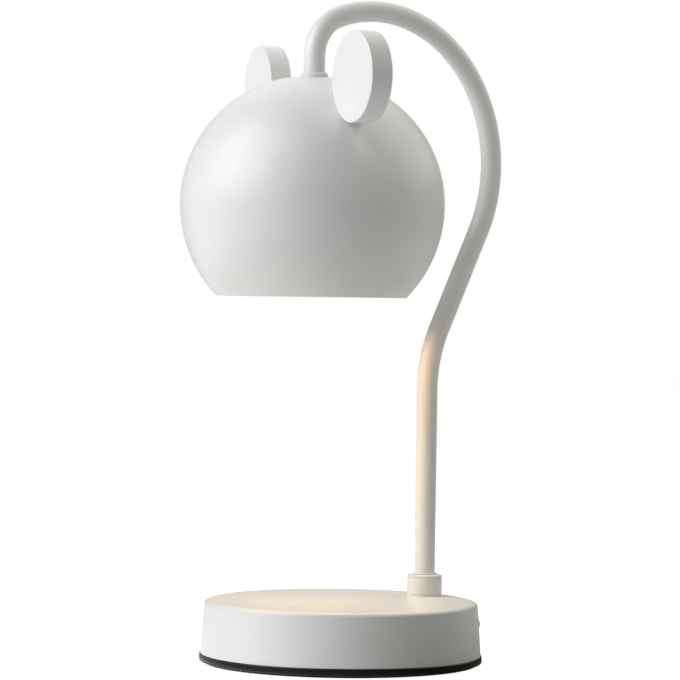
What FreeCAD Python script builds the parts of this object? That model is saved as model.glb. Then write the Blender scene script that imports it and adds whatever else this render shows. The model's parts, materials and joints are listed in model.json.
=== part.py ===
import FreeCAD, Part
import math
import os

# Candle warmer lamp: a round weighted base, a bent tube that turns in a collar on
# the base, and a globe shade with two ears that hangs over the candle.  A reflector
# bulb inside the shade warms the wax from above.
#
# Millimetres, +Z up.  The origin is the centre of the base's underside.  The arm
# lies in the YZ plane: its column stands behind the candle at +Y and the shade
# hangs in front of it.

# ---------------------------------------------------------------- base
FOOT_PAD_T = 1.9             # rubber pad under the tray
FOOT_PAD_INSET = 2.2         # from the tray's edge to the pad's
FOOT_PAD_SEAT = 1.0          # depth of the pad's recess in the tray
FOOT_PAD_BEVEL = 0.5
TRAY_RIM_H = 3.5             # visible height of the tray's edge, above the pad's lip
TRAY_FLOOR_T = 2.1
TRAY_OVERHANG = 0.6          # how far the tray's edge stands out past the cover
TRAY_SPIGOT_H = 4.5          # upstand that centres the cover
TRAY_SPIGOT_T = 2.0
TRAY_EDGE_R = 0.8            # rounded lower edge of the tray
TRAY_LIP = 0.4               # bevel at the tray's upper edge
TRAY_GROOVE = 0.5            # depth of the groove round the tray's edge
TRAY_GROOVE_W = 0.4
TRAY_GROOVE_SHARE = 0.6      # where the groove lies on the edge's height
COVER_BOTTOM_R = 66.8
COVER_TAPER = 1.7            # how much smaller the cover's radius is at the top
COVER_H = 25.3
COVER_WALL = 1.2
COVER_EDGE_R = 2.2
WEIGHT_GAP = 4.0             # between the weight and the tray's upstand
WEIGHT_T = 11.5
WEIGHT_FOOT_BEVEL = 1.0
WEIGHT_TOP_BEVEL = 2.0
BAY_REACH = 18.6             # the weight stops this far short of the column's axis
POST_INSET = 13.5            # from the weight's rim to the axes of the posts
POST_R = 5.0
POST_SPIGOT_R = 3.0
POST_ROOF = 1.0              # solid metal above each post's tapped hole
POST_ANGLES = (30.0, 150.0, 270.0)
TRAY_SCREW_R = 1.5
TRAY_SCREW_TIP = 3.0         # the screws stop this far below the weight's top
TRAY_SCREW_HEAD_R = 2.9
TRAY_SCREW_HEAD_T = 0.55
TRAY_SCREW_SLOT_W = 0.8
TRAY_SCREW_SLOT_D = 0.3

# ---------------------------------------------------------------- arm
TUBE_R = 5.0
TUBE_WALL = 1.0
COLUMN_INSET = 14.5          # from the top edge of the cover to the column's axis
KNEE_Z = 129.4               # height where the straight column ends
KNEE_R = 68.5
LEAN_DEG = 26.3              # slope of the run above the knee, from upright
LEAN_RUN = 53.5
BOW_R = 71.6
CROOK_R = 20.5
NECK_RUN = 10.5              # straight end above the shade
ARM_REACH = 70.7             # from the column's axis to the shade's
TUBE_TAIL = 17.1             # length of tube below the top of the cover
BEAD_R = 6.0                 # swaged bead that carries the arm on the collar
BEAD_H = 0.6

# ---------------------------------------------------------------- collar
COLLAR_R = 8.5
COLLAR_H = 10.65
COLLAR_CHAMFER = 0.5
COLLAR_LAND_R = 6.2
COLLAR_STUB_R = 7.0
COLLAR_STUB_L = 13.6
COLLAR_STOP_L = 4.5          # length of the half-round stop at the stub's end
COLLAR_LINE = 0.35           # width and depth of the turned lines
COLLAR_UPPER_LINE = 0.6      # below the chamfer
COLLAR_LOWER_LINE = 0.9      # above the cover
COLLAR_NUT_AF = 17.0
COLLAR_NUT_T = 3.5
COLLAR_WASHER_R = 10.0
COLLAR_WASHER_T = 1.0
STOP_HEAD_R = 2.0
STOP_HEAD_H = 1.9
STOP_SHANK_R = 1.25
STOP_SHANK_TIP = 0.4         # end of the shank inside the tube
STOP_SLOT_W = 0.6
STOP_SLOT_D = 0.7
THRUST_WASHER_R = 7.5
THRUST_WASHER_T = 1.0
CLIP_R = 7.0
CLIP_T = 0.8
CLIP_GROOVE = 0.4
CLIP_GAP = 3.2               # opening of the snap ring
CLIP_EYE_R = 1.7
CLIP_EYE_BORE_R = 0.7

# ---------------------------------------------------------------- cord inlet
GLAND_TURN_DEG = -13.0       # from +Y, seen from above
GLAND_Z = 16.4
GLAND_BORE_R = 2.75
GLAND_NECK_R = 3.6
GLAND_FLANGE_R = 4.6
GLAND_FLANGE_T = 1.6
GLAND_FLANGE_EDGE = 0.4
GLAND_SADDLE = 0.5           # how far the flange reaches in before it is fitted to the cover
GLAND_NOSE_R = 3.4
GLAND_NOSE_L = 4.8
GLAND_NOSE_TAPER = 0.3
GLAND_NOSE_EDGE = 0.5
GLAND_INNER_L = 5.0
GLAND_NUT_R = 5.6
GLAND_NUT_T = 2.6

# ---------------------------------------------------------------- shade
SHADE_R = 62.5
SHADE_WALL = 1.2
SHADE_SINK = 1.3             # how much the crown is lower than a full sphere's
SHADE_FLAT_R = 14.6          # flat top, to the corner that the shoulder rounds
SHADE_MOUTH_R = 44.88        # open rim at the bottom
SHADE_SHOULDER_R = 24.0
SHADE_RIM_R = 0.4            # rounding of the cut rim's edges
SHADE_TURN_DEG = -14.4       # how far the shade is turned from the arm's plane
EAR_R = 21.1
EAR_T = 10.4
EAR_BACK = 4.75              # from the globe's middle plane to the ears' back faces
EAR_TILT_DEG = 45.98         # direction from the globe's centre to an ear's, from upright
EAR_SEAT_DEPTH = 1.28        # how far an ear's round is sunk into the globe's
EAR_SPLAY_DEG = 3.0
EAR_EDGE_R = 0.45
EAR_SCREW_R = 1.75
EAR_SCREW_GRIP = 12.0
EAR_HEAD_R = 3.4
EAR_HEAD_H = 2.2
EAR_WASHER_R = 4.5
EAR_WASHER_T = 0.8

# ---------------------------------------------------------------- neck
NIPPLE_BORE_R = 2.75
NIPPLE_GRIP = 7.6            # length inside the tube
FERRULE_R = 6.5
FERRULE_H = 2.25
FERRULE_TOP_R = 5.7
FERRULE_SEAT = 1.1           # depth of the tube's seat in the ferrule
NECK_WASHER_R = 6.4
NECK_WASHER_T = 0.7
FRICTION_WASHER_R = 9.0
FRICTION_WASHER_T = 1.0
NECK_NUT_AF = 13.0
NECK_NUT_T = 4.0
NIPPLE_TAIL = 1.5            # thread below the nut
FERRULE_BAND_H = 1.2         # straight lower part of the ferrule

# ---------------------------------------------------------------- lamp holder
BRACKET_T = 1.2
BRACKET_W = 12.0
BRACKET_HALF = 15.5          # outside of each leg from the axis
BRACKET_DROP = 18.0
BRACKET_TAB = 8.0
HOLDER_R = 15.0
HOLDER_H = 20.0
HOLDER_SKIRT_H = 6.0         # height of the wide part above the face
HOLDER_WAIST = 1.2           # how much slimmer the holder is above its skirt
HOLDER_EDGE = 0.8
HOLDER_FACE_T = 3.0
HOLDER_WELL_R = 8.2
HOLDER_WELL_H = 9.5
HOLDER_SCREW_X = 11.0
HOLDER_SCREW_R = 1.5
HOLDER_HEAD_R = 2.7
HOLDER_HEAD_H = 2.0
HOLDER_HEAD_SINK = 0.4       # the screw heads lie this far behind the face
PIN_HALF_SPACING = 5.0
PIN_NECK_R = 1.55
PIN_HEAD_R = 2.4
PIN_NECK_L = 4.8
PIN_HEAD_L = 2.2
PIN_EDGE = 0.4
PIN_ROOT = 4.0               # length cemented into the cap
TWIST_DEG = 20.0             # turn that unlocks the bulb
CONTACT_T = 0.6
CONTACT_W = 4.0
CONTACT_GAP = 0.3            # above the pin's head
CONTACT_INNER = 1.2          # near edge of a leaf, from the axis
CONTACT_REACH = 1.8          # length of a leaf past the pin's axis

# ---------------------------------------------------------------- bulb
BULB_BASE_R = 11.5
BULB_BASE_H = 15.0
BULB_SKIRT = 0.8             # how far the cap's foot stands out
BULB_SKIRT_H = 2.0
BULB_SKIRT_SLOPE = 2.0
BULB_BASE_EDGE = 1.0
BULB_CHEEK = 1.6             # from a pin's head to the flat on the cap's side
BULB_R = 25.0
BULB_REFLECTOR_H = 33.0
BULB_GLASS_T = 1.2
BULB_LIP_H = 2.0
BULB_LIP_STEP = 1.0          # how far the lip stands out past the bowl
BOWL_MID_HEIGHT = 0.42       # a point on the bowl's curve, as shares of its height
BOWL_MID_WIDTH = 0.74        # and of its spread
BULB_LENS_T = 1.8
LENS_DOME = 0.6
LENS_SINK = 0.1              # the lens lies this far inside the lip
CAPSULE_R = 4.2
CAPSULE_GAP = 0.5            # round the capsule, in the reflector's hole
CAPSULE_L = 19.0
CAPSULE_STEM_R = 3.0
CAPSULE_ROOT = 4.5           # length of the stem inside the cap
CAPSULE_NECK = 3.0           # from the reflector's hole to the capsule's shoulder
CAPSULE_SHOULDER = 2.0

# ---------------------------------------------------------------- wiring
LEAD_R = 2.2
CORE_R = 0.95
CORE_OFFSET = 1.1            # each core's distance from the middle of its sheath
LEAD_TAIL = 1.5              # sheath beyond each end of the arm's passage
STRIP_GAP = 0.2              # between the sheath's end and the bared cores
CORE_DROP = 4.5              # how far the cores fall below the column before they turn
BLOCK_POLES = 3
BLOCK_PITCH = 8.0
BLOCK_L = 17.0
BLOCK_H = 10.5
BLOCK_Y = 2.0
BLOCK_FOOT_H = 3.0
BLOCK_BARREL_INSET = 0.4
BLOCK_TOWER_R = 2.7
BLOCK_BORE_R = 1.8
BLOCK_SCREW_R = 1.2
BLOCK_SCREW_L = 8.0
BLOCK_SCREW_HEAD_R = 2.1
BLOCK_SCREW_HEAD_H = 1.6
TERMINAL_SCREW_R = 1.7
TERMINAL_SCREW_DY = 4.5
TERMINAL_SCREW_SINK = 0.8    # below the top of its tower
TERMINAL_SLOT_W = 0.6
TERMINAL_SLOT_D = 0.8
TERMINAL_TIP = 1.0           # the screw stops this far above the core's axis
CORE_GRIP = 3.0              # from the mouth of a pole to the end of its core's run
EARTH_X = 27.0
EARTH_Y = 14.0
EARTH_TAG_R = 4.0
EARTH_TAG_T = 0.8
EARTH_TAG_L = 9.0
EARTH_TAG_W = 3.2
EARTH_CRIMP_R = 1.6
EARTH_CRIMP_L = 4.0
EARTH_CRIMP_LAP = 1.0        # the crimp starts on the tongue
EARTH_LOOP = 8.0             # straight run of the earth core out of the block
EARTH_SCREW_R = 2.0
EARTH_SCREW_L = 5.5
EARTH_HEAD_R = 3.6
EARTH_HEAD_H = 2.4
WEIGHT_TAP_DEPTH = 6.0       # tapped holes in the weight's top; the screws are shorter

# ---------------------------------------------------------------- clearances
RUN_GAP = 0.05               # radial clearance of a part that turns in another
FACE_GAP = 0.05              # between flat faces that slide on each other
SEAT_GAP = 0.02              # a seated or pressed piece
HOLE_GAP = 0.2               # radial clearance of a screw in a plain hole
OVERCUT = 1.0                # how far a cutting tool runs past the face that it cuts

# ---------------------------------------------------------------- derived radii and places
COVER_TOP_R = COVER_BOTTOM_R - COVER_TAPER
TRAY_R = COVER_BOTTOM_R + TRAY_OVERHANG
FOOT_PAD_R = TRAY_R - FOOT_PAD_INSET
TRAY_SPIGOT_R = COVER_BOTTOM_R - COVER_TAPER * TRAY_SPIGOT_H / COVER_H - COVER_WALL - HOLE_GAP
WEIGHT_R = TRAY_SPIGOT_R - TRAY_SPIGOT_T - WEIGHT_GAP
POST_RING_R = WEIGHT_R - POST_INSET
COLUMN_Y = COVER_TOP_R - COLUMN_INSET
BAY_Y = COLUMN_Y - BAY_REACH
SHADE_Y = COLUMN_Y - ARM_REACH
CROWN_SHIFT = SHADE_SINK / (2 - math.sqrt(2))
CROWN_R = SHADE_R - SHADE_SINK + CROWN_SHIFT
SHADE_FLAT_RISE = math.sqrt(CROWN_R ** 2 - SHADE_FLAT_R ** 2) - CROWN_SHIFT
SHADE_RIM_DROP = math.sqrt(SHADE_R ** 2 - SHADE_MOUTH_R ** 2)
EAR_DISTANCE = SHADE_R + EAR_R - EAR_SEAT_DEPTH

# ---------------------------------------------------------------- derived heights
TRAY_BOTTOM_Z = FOOT_PAD_T - FOOT_PAD_SEAT
COVER_BOTTOM_Z = TRAY_BOTTOM_Z + TRAY_RIM_H
COVER_TOP_Z = COVER_BOTTOM_Z + COVER_H
COVER_UNDER_Z = COVER_TOP_Z - COVER_WALL
TRAY_FLOOR_Z = TRAY_BOTTOM_Z + TRAY_FLOOR_T
TRAY_SCREW_SEAT_Z = TRAY_BOTTOM_Z + FOOT_PAD_SEAT + TRAY_SCREW_HEAD_T
WEIGHT_TOP_Z = TRAY_FLOOR_Z + WEIGHT_T
COLLAR_TOP_Z = COVER_TOP_Z + COLLAR_H
STUB_END_Z = COVER_TOP_Z - COLLAR_STUB_L
STOP_Z = STUB_END_Z + COLLAR_STOP_L / 2
CLIP_TOP_Z = STUB_END_Z - THRUST_WASHER_T - 2 * FACE_GAP
TUBE_FOOT_Z = COVER_TOP_Z - TUBE_TAIL
TUBE_BORE_R = TUBE_R - TUBE_WALL
NIPPLE_R = TUBE_BORE_R - SEAT_GAP

LEAN = math.radians(LEAN_DEG)
KNEE_END = (COLUMN_Y + KNEE_R * (1 - math.cos(LEAN)), KNEE_Z + KNEE_R * math.sin(LEAN))
LEAN_END = (KNEE_END[0] + LEAN_RUN * math.sin(LEAN), KNEE_END[1] + LEAN_RUN * math.cos(LEAN))
BOW_CENTRE = (LEAN_END[0] - BOW_R * math.cos(LEAN), LEAN_END[1] + BOW_R * math.sin(LEAN))
CROOK_TURN = math.acos((BOW_CENTRE[0] - SHADE_Y - CROOK_R) / (BOW_R - CROOK_R))
CROOK_CENTRE = (SHADE_Y + CROOK_R, BOW_CENTRE[1] + (BOW_R - CROOK_R) * math.sin(CROOK_TURN))

FLAT_Z = CROOK_CENTRE[1] - NECK_RUN
FLAT_UNDER_Z = FLAT_Z - SHADE_WALL
GLOBE_Z = FLAT_Z - SHADE_FLAT_RISE
FERRULE_Z = FLAT_Z + FACE_GAP + NECK_WASHER_T
TUBE_END_Z = FERRULE_Z + FERRULE_H - FERRULE_SEAT
BRACKET_TOP_Z = FLAT_UNDER_Z - FACE_GAP - FRICTION_WASHER_T
NECK_NUT_TOP_Z = BRACKET_TOP_Z - BRACKET_T
NIPPLE_END_Z = NECK_NUT_TOP_Z - NECK_NUT_T - NIPPLE_TAIL
HOLDER_TOP_Z = BRACKET_TOP_Z - BRACKET_DROP
HOLDER_FACE_Z = HOLDER_TOP_Z - HOLDER_H
BULB_TOP_Z = HOLDER_FACE_Z - FACE_GAP
REFLECTOR_TOP_Z = BULB_TOP_Z - BULB_BASE_H
BULB_FACE_Z = REFLECTOR_TOP_Z - BULB_REFLECTOR_H
POLE_Z = WEIGHT_TOP_Z + BLOCK_PITCH / 2
POLE_MOUTH_Y = BLOCK_Y + BLOCK_L / 2

Z_AXIS = FreeCAD.Vector(0, 0, 1)


# ---------------------------------------------------------------- helpers
def vec(x, y, z):
    return FreeCAD.Vector(x, y, z)


def disc(radius, z0, z1, x=0.0, y=0.0):
    """Upright cylinder between two heights."""
    return Part.makeCylinder(radius, z1 - z0, vec(x, y, z0))


def ring(outer, inner, z0, z1, x=0.0, y=0.0):
    """Upright tube between two heights."""
    return disc(outer, z0, z1, x, y).cut(disc(inner, z0, z1, x, y))


def block(x0, x1, y0, y1, z0, z1):
    return Part.makeBox(x1 - x0, y1 - y0, z1 - z0, vec(x0, y0, z0))


def outline(start, *steps):
    """Closed edge loop in the XZ plane.  A step is a point, or a (middle, end) arc."""
    edges = []
    here = vec(start[0], 0, start[1])
    first = here
    for step in steps:
        if isinstance(step[0], tuple):
            middle = vec(step[0][0], 0, step[0][1])
            end = vec(step[1][0], 0, step[1][1])
            edges.append(Part.Arc(here, middle, end).toShape())
        else:
            end = vec(step[0], 0, step[1])
            edges.append(Part.LineSegment(here, end).toShape())
        here = end
    if here.distanceToPoint(first) > 1e-7:
        edges.append(Part.LineSegment(here, first).toShape())
    return Part.Wire(edges)


def lathe(start, *steps):
    """Turned solid about Z from a half profile of (radius, height) points."""
    face = Part.Face(outline(start, *steps))
    return face.revolve(vec(0, 0, 0), Z_AXIS, 360)


def on_circle(radius, height):
    """Radius at a given height of a sphere section centred on the origin."""
    return math.sqrt(radius * radius - height * height)


def turned(shape, degrees, x=0.0, y=0.0):
    """Copy turned about an upright line."""
    copy = shape.copy()
    copy.rotate(vec(x, y, 0), Z_AXIS, degrees)
    return copy


def moved(shape, x, y, z):
    copy = shape.copy()
    copy.translate(vec(x, y, z))
    return copy


def hexagon(across_flats, z0, z1, bore):
    """Hexagon nut on the Z axis with chamfered corners."""
    corner = across_flats / math.sqrt(3)
    turns = [math.radians(60 * i) for i in range(7)]
    points = [vec(corner * math.cos(turn), corner * math.sin(turn), z0) for turn in turns]
    prism = Part.Face(Part.makePolygon(points)).extrude(vec(0, 0, z1 - z0))
    bevel = corner - across_flats / 2
    envelope = lathe((0, z0), (corner - bevel, z0), (corner, z0 + bevel / 2), (corner, z1 - bevel / 2),
                     (corner - bevel, z1), (0, z1))
    return prism.common(envelope).cut(disc(bore, z0, z1))


def rod(start, direction, length, radius):
    return Part.makeCylinder(radius, length, start, direction)


def pan_screw(radius, length, head_radius, head_height):
    """Pan head screw: the shank runs up from z = 0 and the head lies below, with a cross recess."""
    round_r = head_height * 0.45
    head = lathe((0, 0), (head_radius, 0), (head_radius, -head_height + round_r),
                 (head_radius - round_r, -head_height), (0, -head_height))
    screw = head.fuse(disc(radius, 0, length))
    slot_w = head_radius * 0.32
    slot_l = head_radius * 1.1
    for width, length in ((slot_w, slot_l), (slot_l, slot_w)):
        screw = screw.cut(block(-width / 2, width / 2, -length / 2, length / 2, -head_height, -round_r))
    return screw.removeSplitter()


def pipe(edges, radius):
    """Round bar along a chain of tangent edges."""
    first = edges[0]
    start = first.valueAt(first.FirstParameter)
    along = first.tangentAt(first.FirstParameter)
    section = Part.Wire(Part.Circle(start, along, radius).toShape())
    return Part.Wire(edges).makePipeShell([section], True, False)


def line(a, b):
    return Part.LineSegment(a, b).toShape()


def rounded_route(points, share=0.45):
    """Straight runs joined by tangent arcs, each as large as its two runs allow."""
    edges = []
    here = points[0]
    for i in range(1, len(points) - 1):
        corner = points[i]
        back = points[i - 1] - corner
        ahead = points[i + 1] - corner
        reach = share * min(back.Length, ahead.Length)
        back.normalize()
        ahead.normalize()
        half = back.getAngle(ahead) / 2
        radius = reach * math.tan(half)
        bisector = back + ahead
        bisector.normalize()
        centre = corner + bisector * (radius / math.sin(half))
        arc_in = corner + back * reach
        arc_out = corner + ahead * reach
        edges.append(line(here, arc_in))
        edges.append(Part.Arc(arc_in, centre - bisector * radius, arc_out).toShape())
        here = arc_out
    edges.append(line(here, points[-1]))
    return edges


def in_arm_plane(point):
    return vec(0, point[0], point[1])


def arc_about(centre, radius, a0, a1):
    """Arc in the arm's plane; angles in radians from +Y towards +Z."""
    def at(angle):
        return in_arm_plane((centre[0] + radius * math.cos(angle), centre[1] + radius * math.sin(angle)))
    return Part.Arc(at(a0), at((a0 + a1) / 2), at(a1)).toShape()


def arm_route(z_foot, z_neck):
    """Centre line of the arm from its foot in the base to its end above the shade."""
    return [
        line(vec(0, COLUMN_Y, z_foot), vec(0, COLUMN_Y, KNEE_Z)),
        arc_about((COLUMN_Y + KNEE_R, KNEE_Z), KNEE_R, math.pi, math.pi - LEAN),
        line(in_arm_plane(KNEE_END), in_arm_plane(LEAN_END)),
        arc_about(BOW_CENTRE, BOW_R, -LEAN, math.pi - CROOK_TURN),
        arc_about(CROOK_CENTRE, CROOK_R, math.pi - CROOK_TURN, math.pi),
        line(vec(0, SHADE_Y, CROOK_CENTRE[1]), vec(0, SHADE_Y, z_neck)),
    ]


# ---------------------------------------------------------------- base pieces
def cover_radius(z):
    """Outside radius of the tapered cover at a height."""
    share = (z - COVER_BOTTOM_Z) / COVER_H
    return COVER_BOTTOM_R + share * (COVER_TOP_R - COVER_BOTTOM_R)


def gland_line(radius):
    """Point on the gland's axis at a distance from the lamp's centre line."""
    angle = math.radians(90 + GLAND_TURN_DEG)
    return vec(radius * math.cos(angle), radius * math.sin(angle), GLAND_Z)


def gland_direction():
    angle = math.radians(90 + GLAND_TURN_DEG)
    return vec(math.cos(angle), math.sin(angle), 0)


def gland_rod(inner, outer, radius):
    """Round bar on the gland's axis, between two distances from the lamp's centre line."""
    return rod(gland_line(inner), gland_direction(), outer - inner, radius)


def base_cover():
    edge = COVER_EDGE_R
    shoulder_z = COVER_TOP_Z - edge
    outer_shoulder = cover_radius(shoulder_z)
    diagonal = edge * (1 - math.sqrt(0.5))
    inner_edge = edge - COVER_WALL
    inner_diagonal = inner_edge * (1 - math.sqrt(0.5))
    inner_shoulder = outer_shoulder - COVER_WALL
    cup = lathe(
        (COVER_BOTTOM_R, COVER_BOTTOM_Z), (outer_shoulder, shoulder_z),
        ((outer_shoulder - diagonal, COVER_TOP_Z - diagonal), (outer_shoulder - edge, COVER_TOP_Z)),
        (0, COVER_TOP_Z), (0, COVER_UNDER_Z),
        (inner_shoulder - inner_edge, COVER_UNDER_Z),
        ((inner_shoulder - inner_diagonal, COVER_UNDER_Z - inner_diagonal), (inner_shoulder, shoulder_z)),
        (COVER_BOTTOM_R - COVER_WALL, COVER_BOTTOM_Z))
    cup = cup.cut(disc(COLLAR_STUB_R + HOLE_GAP, COVER_UNDER_Z - OVERCUT, COVER_TOP_Z + OVERCUT, 0, COLUMN_Y))
    inside_wall = min(COVER_TOP_R, COVER_BOTTOM_R) - COVER_WALL - GLAND_NECK_R
    return cup.cut(gland_rod(inside_wall, TRAY_R + OVERCUT, GLAND_NECK_R + SEAT_GAP))


def bottom_tray():
    z = TRAY_BOTTOM_Z
    top = COVER_BOTTOM_Z
    groove_z = z + TRAY_GROOVE_SHARE * TRAY_RIM_H
    groove_bevel = TRAY_LIP / 4
    inner_r = TRAY_SPIGOT_R - TRAY_SPIGOT_T
    diagonal = TRAY_EDGE_R * (1 - math.sqrt(0.5))
    body = lathe(
        (0, z), (TRAY_R - TRAY_EDGE_R, z), ((TRAY_R - diagonal, z + diagonal), (TRAY_R, z + TRAY_EDGE_R)),
        (TRAY_R, groove_z), (TRAY_R - TRAY_GROOVE, groove_z + groove_bevel),
        (TRAY_R - TRAY_GROOVE, groove_z + TRAY_GROOVE_W),
        (TRAY_R - groove_bevel, groove_z + TRAY_GROOVE_W + groove_bevel),
        (TRAY_R - groove_bevel, top - TRAY_LIP), (TRAY_R - TRAY_LIP, top),
        (TRAY_SPIGOT_R, top), (TRAY_SPIGOT_R, top + TRAY_SPIGOT_H), (inner_r, top + TRAY_SPIGOT_H),
        (inner_r, TRAY_FLOOR_Z), (0, TRAY_FLOOR_Z))
    body = body.cut(disc(FOOT_PAD_R + HOLE_GAP, z - OVERCUT, z + FOOT_PAD_SEAT))
    for x, y in post_places():
        body = body.cut(disc(TRAY_SCREW_R + HOLE_GAP, z, TRAY_FLOOR_Z, x, y))
        body = body.cut(disc(TRAY_SCREW_HEAD_R + HOLE_GAP, z, TRAY_SCREW_SEAT_Z, x, y))
    notch = gland_rod(inner_r - GLAND_NUT_T, TRAY_R, GLAND_NUT_R + 2 * HOLE_GAP)
    upstand = disc(TRAY_R, top + OVERCUT, top + TRAY_SPIGOT_H + OVERCUT)
    return body.cut(notch.common(upstand))


def foot_pad():
    edge = FOOT_PAD_BEVEL
    top = FOOT_PAD_T
    return lathe((0, 0), (FOOT_PAD_R - edge, 0), (FOOT_PAD_R, edge), (FOOT_PAD_R, top), (0, top))


def post_places():
    return [(POST_RING_R * math.cos(math.radians(a)), POST_RING_R * math.sin(math.radians(a)))
            for a in POST_ANGLES]


def cover_posts():
    """Stepped posts welded under the cover; their shoulders hold the weight down."""
    posts = []
    for x, y in post_places():
        post = disc(POST_R, WEIGHT_TOP_Z, COVER_UNDER_Z).fuse(disc(POST_SPIGOT_R, TRAY_FLOOR_Z, WEIGHT_TOP_Z))
        post = post.cut(disc(TRAY_SCREW_R + SEAT_GAP, TRAY_FLOOR_Z, WEIGHT_TOP_Z - POST_ROOF))
        posts.append(moved(post.removeSplitter(), x, y, 0))
    return Part.makeCompound(posts)


def tray_screws():
    seat = TRAY_SCREW_SEAT_Z
    under = seat - TRAY_SCREW_HEAD_T
    tip = WEIGHT_TOP_Z - TRAY_SCREW_TIP
    screws = []
    for x, y in post_places():
        screw = disc(TRAY_SCREW_HEAD_R, under, seat).fuse(disc(TRAY_SCREW_R, seat, tip)).removeSplitter()
        slot = block(-TRAY_SCREW_HEAD_R, TRAY_SCREW_HEAD_R, -TRAY_SCREW_SLOT_W / 2, TRAY_SCREW_SLOT_W / 2,
                     under, under + TRAY_SCREW_SLOT_D)
        screws.append(moved(screw.cut(slot), x, y, 0))
    return Part.makeCompound(screws)


def counterweight():
    z0 = TRAY_FLOOR_Z
    z1 = WEIGHT_TOP_Z
    weight = lathe((0, z0), (WEIGHT_R - WEIGHT_FOOT_BEVEL, z0), (WEIGHT_R, z0 + WEIGHT_FOOT_BEVEL),
                   (WEIGHT_R, z1 - WEIGHT_TOP_BEVEL), (WEIGHT_R - WEIGHT_TOP_BEVEL, z1), (0, z1))
    weight = weight.cut(block(-WEIGHT_R, WEIGHT_R, BAY_Y, WEIGHT_R, z0 - OVERCUT, z1 + OVERCUT))
    for x, y in post_places():
        weight = weight.cut(disc(POST_SPIGOT_R + HOLE_GAP, z0 - OVERCUT, z1 + OVERCUT, x, y))
    tap = z1 - WEIGHT_TAP_DEPTH
    weight = weight.cut(disc(BLOCK_SCREW_R + SEAT_GAP, tap, z1, BLOCK_PITCH / 2, BLOCK_Y))
    return weight.cut(disc(EARTH_SCREW_R + SEAT_GAP, tap, z1, EARTH_X, EARTH_Y))


# ---------------------------------------------------------------- collar pieces
def column_collar():
    z = COVER_TOP_Z
    top = COLLAR_TOP_Z
    bore = TUBE_R + RUN_GAP
    cut = COLLAR_LINE
    upper = top - COLLAR_CHAMFER - COLLAR_UPPER_LINE
    lower = z + COLLAR_LOWER_LINE
    body = lathe(
        (bore, top), (COLLAR_LAND_R, top), (COLLAR_R, top - COLLAR_CHAMFER),
        (COLLAR_R, upper), (COLLAR_R - cut, upper - cut / 2), (COLLAR_R, upper - cut),
        (COLLAR_R, lower + cut), (COLLAR_R - cut, lower + cut / 2), (COLLAR_R, lower),
        (COLLAR_R, z), (COLLAR_STUB_R, z), (COLLAR_STUB_R, STUB_END_Z), (bore, STUB_END_Z))
    sweep = block(-COLLAR_R, COLLAR_R, -COLLAR_R, STOP_HEAD_R + 2 * FACE_GAP,
                  STUB_END_Z, STUB_END_Z + COLLAR_STOP_L)
    return moved(body.cut(sweep), 0, COLUMN_Y, 0)


def collar_washer():
    return ring(COLLAR_WASHER_R, COLLAR_STUB_R + HOLE_GAP, COVER_UNDER_Z - COLLAR_WASHER_T, COVER_UNDER_Z,
                0, COLUMN_Y)


def collar_nut():
    top = COVER_UNDER_Z - COLLAR_WASHER_T
    nut = hexagon(COLLAR_NUT_AF, top - COLLAR_NUT_T, top, COLLAR_STUB_R + SEAT_GAP)
    return moved(nut, 0, COLUMN_Y, 0)


def stop_screw():
    """Its head swings against the collar's half-round stop and ends the arm's turn."""
    start = vec(0, COLUMN_Y - TUBE_R - RUN_GAP, STOP_Z)
    head = rod(start, vec(0, -1, 0), STOP_HEAD_H, STOP_HEAD_R)
    face_y = start.y - STOP_HEAD_H
    slot = block(-STOP_HEAD_R, STOP_HEAD_R, face_y, face_y + STOP_SLOT_D,
                 STOP_Z - STOP_SLOT_W / 2, STOP_Z + STOP_SLOT_W / 2)
    shank = rod(start, vec(0, 1, 0), RUN_GAP + TUBE_WALL + STOP_SHANK_TIP, STOP_SHANK_R)
    return head.cut(slot).fuse(shank).removeSplitter()


def thrust_washer():
    top = STUB_END_Z - FACE_GAP
    return ring(THRUST_WASHER_R, TUBE_R + SEAT_GAP, top - THRUST_WASHER_T, top, 0, COLUMN_Y)


def arm_circlip():
    """Open snap ring in the groove near the tube's foot, with two eyelets at the gap."""
    z1 = CLIP_TOP_Z
    z0 = z1 - CLIP_T
    clip = ring(CLIP_R, TUBE_R - CLIP_GROOVE + SEAT_GAP, z0, z1)
    clip = clip.cut(block(-CLIP_GAP / 2, CLIP_GAP / 2, 0, CLIP_R + OVERCUT, z0, z1))
    for side in (-1, 1):
        x = side * (CLIP_GAP / 2 + CLIP_EYE_R - HOLE_GAP)
        eyelet = disc(CLIP_EYE_R, z0, z1, x, CLIP_R).cut(disc(TUBE_R + HOLE_GAP, z0, z1))
        clip = clip.fuse(eyelet).cut(disc(CLIP_EYE_BORE_R, z0, z1, x, CLIP_R))
    return moved(clip.removeSplitter(), 0, COLUMN_Y, 0)


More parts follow.
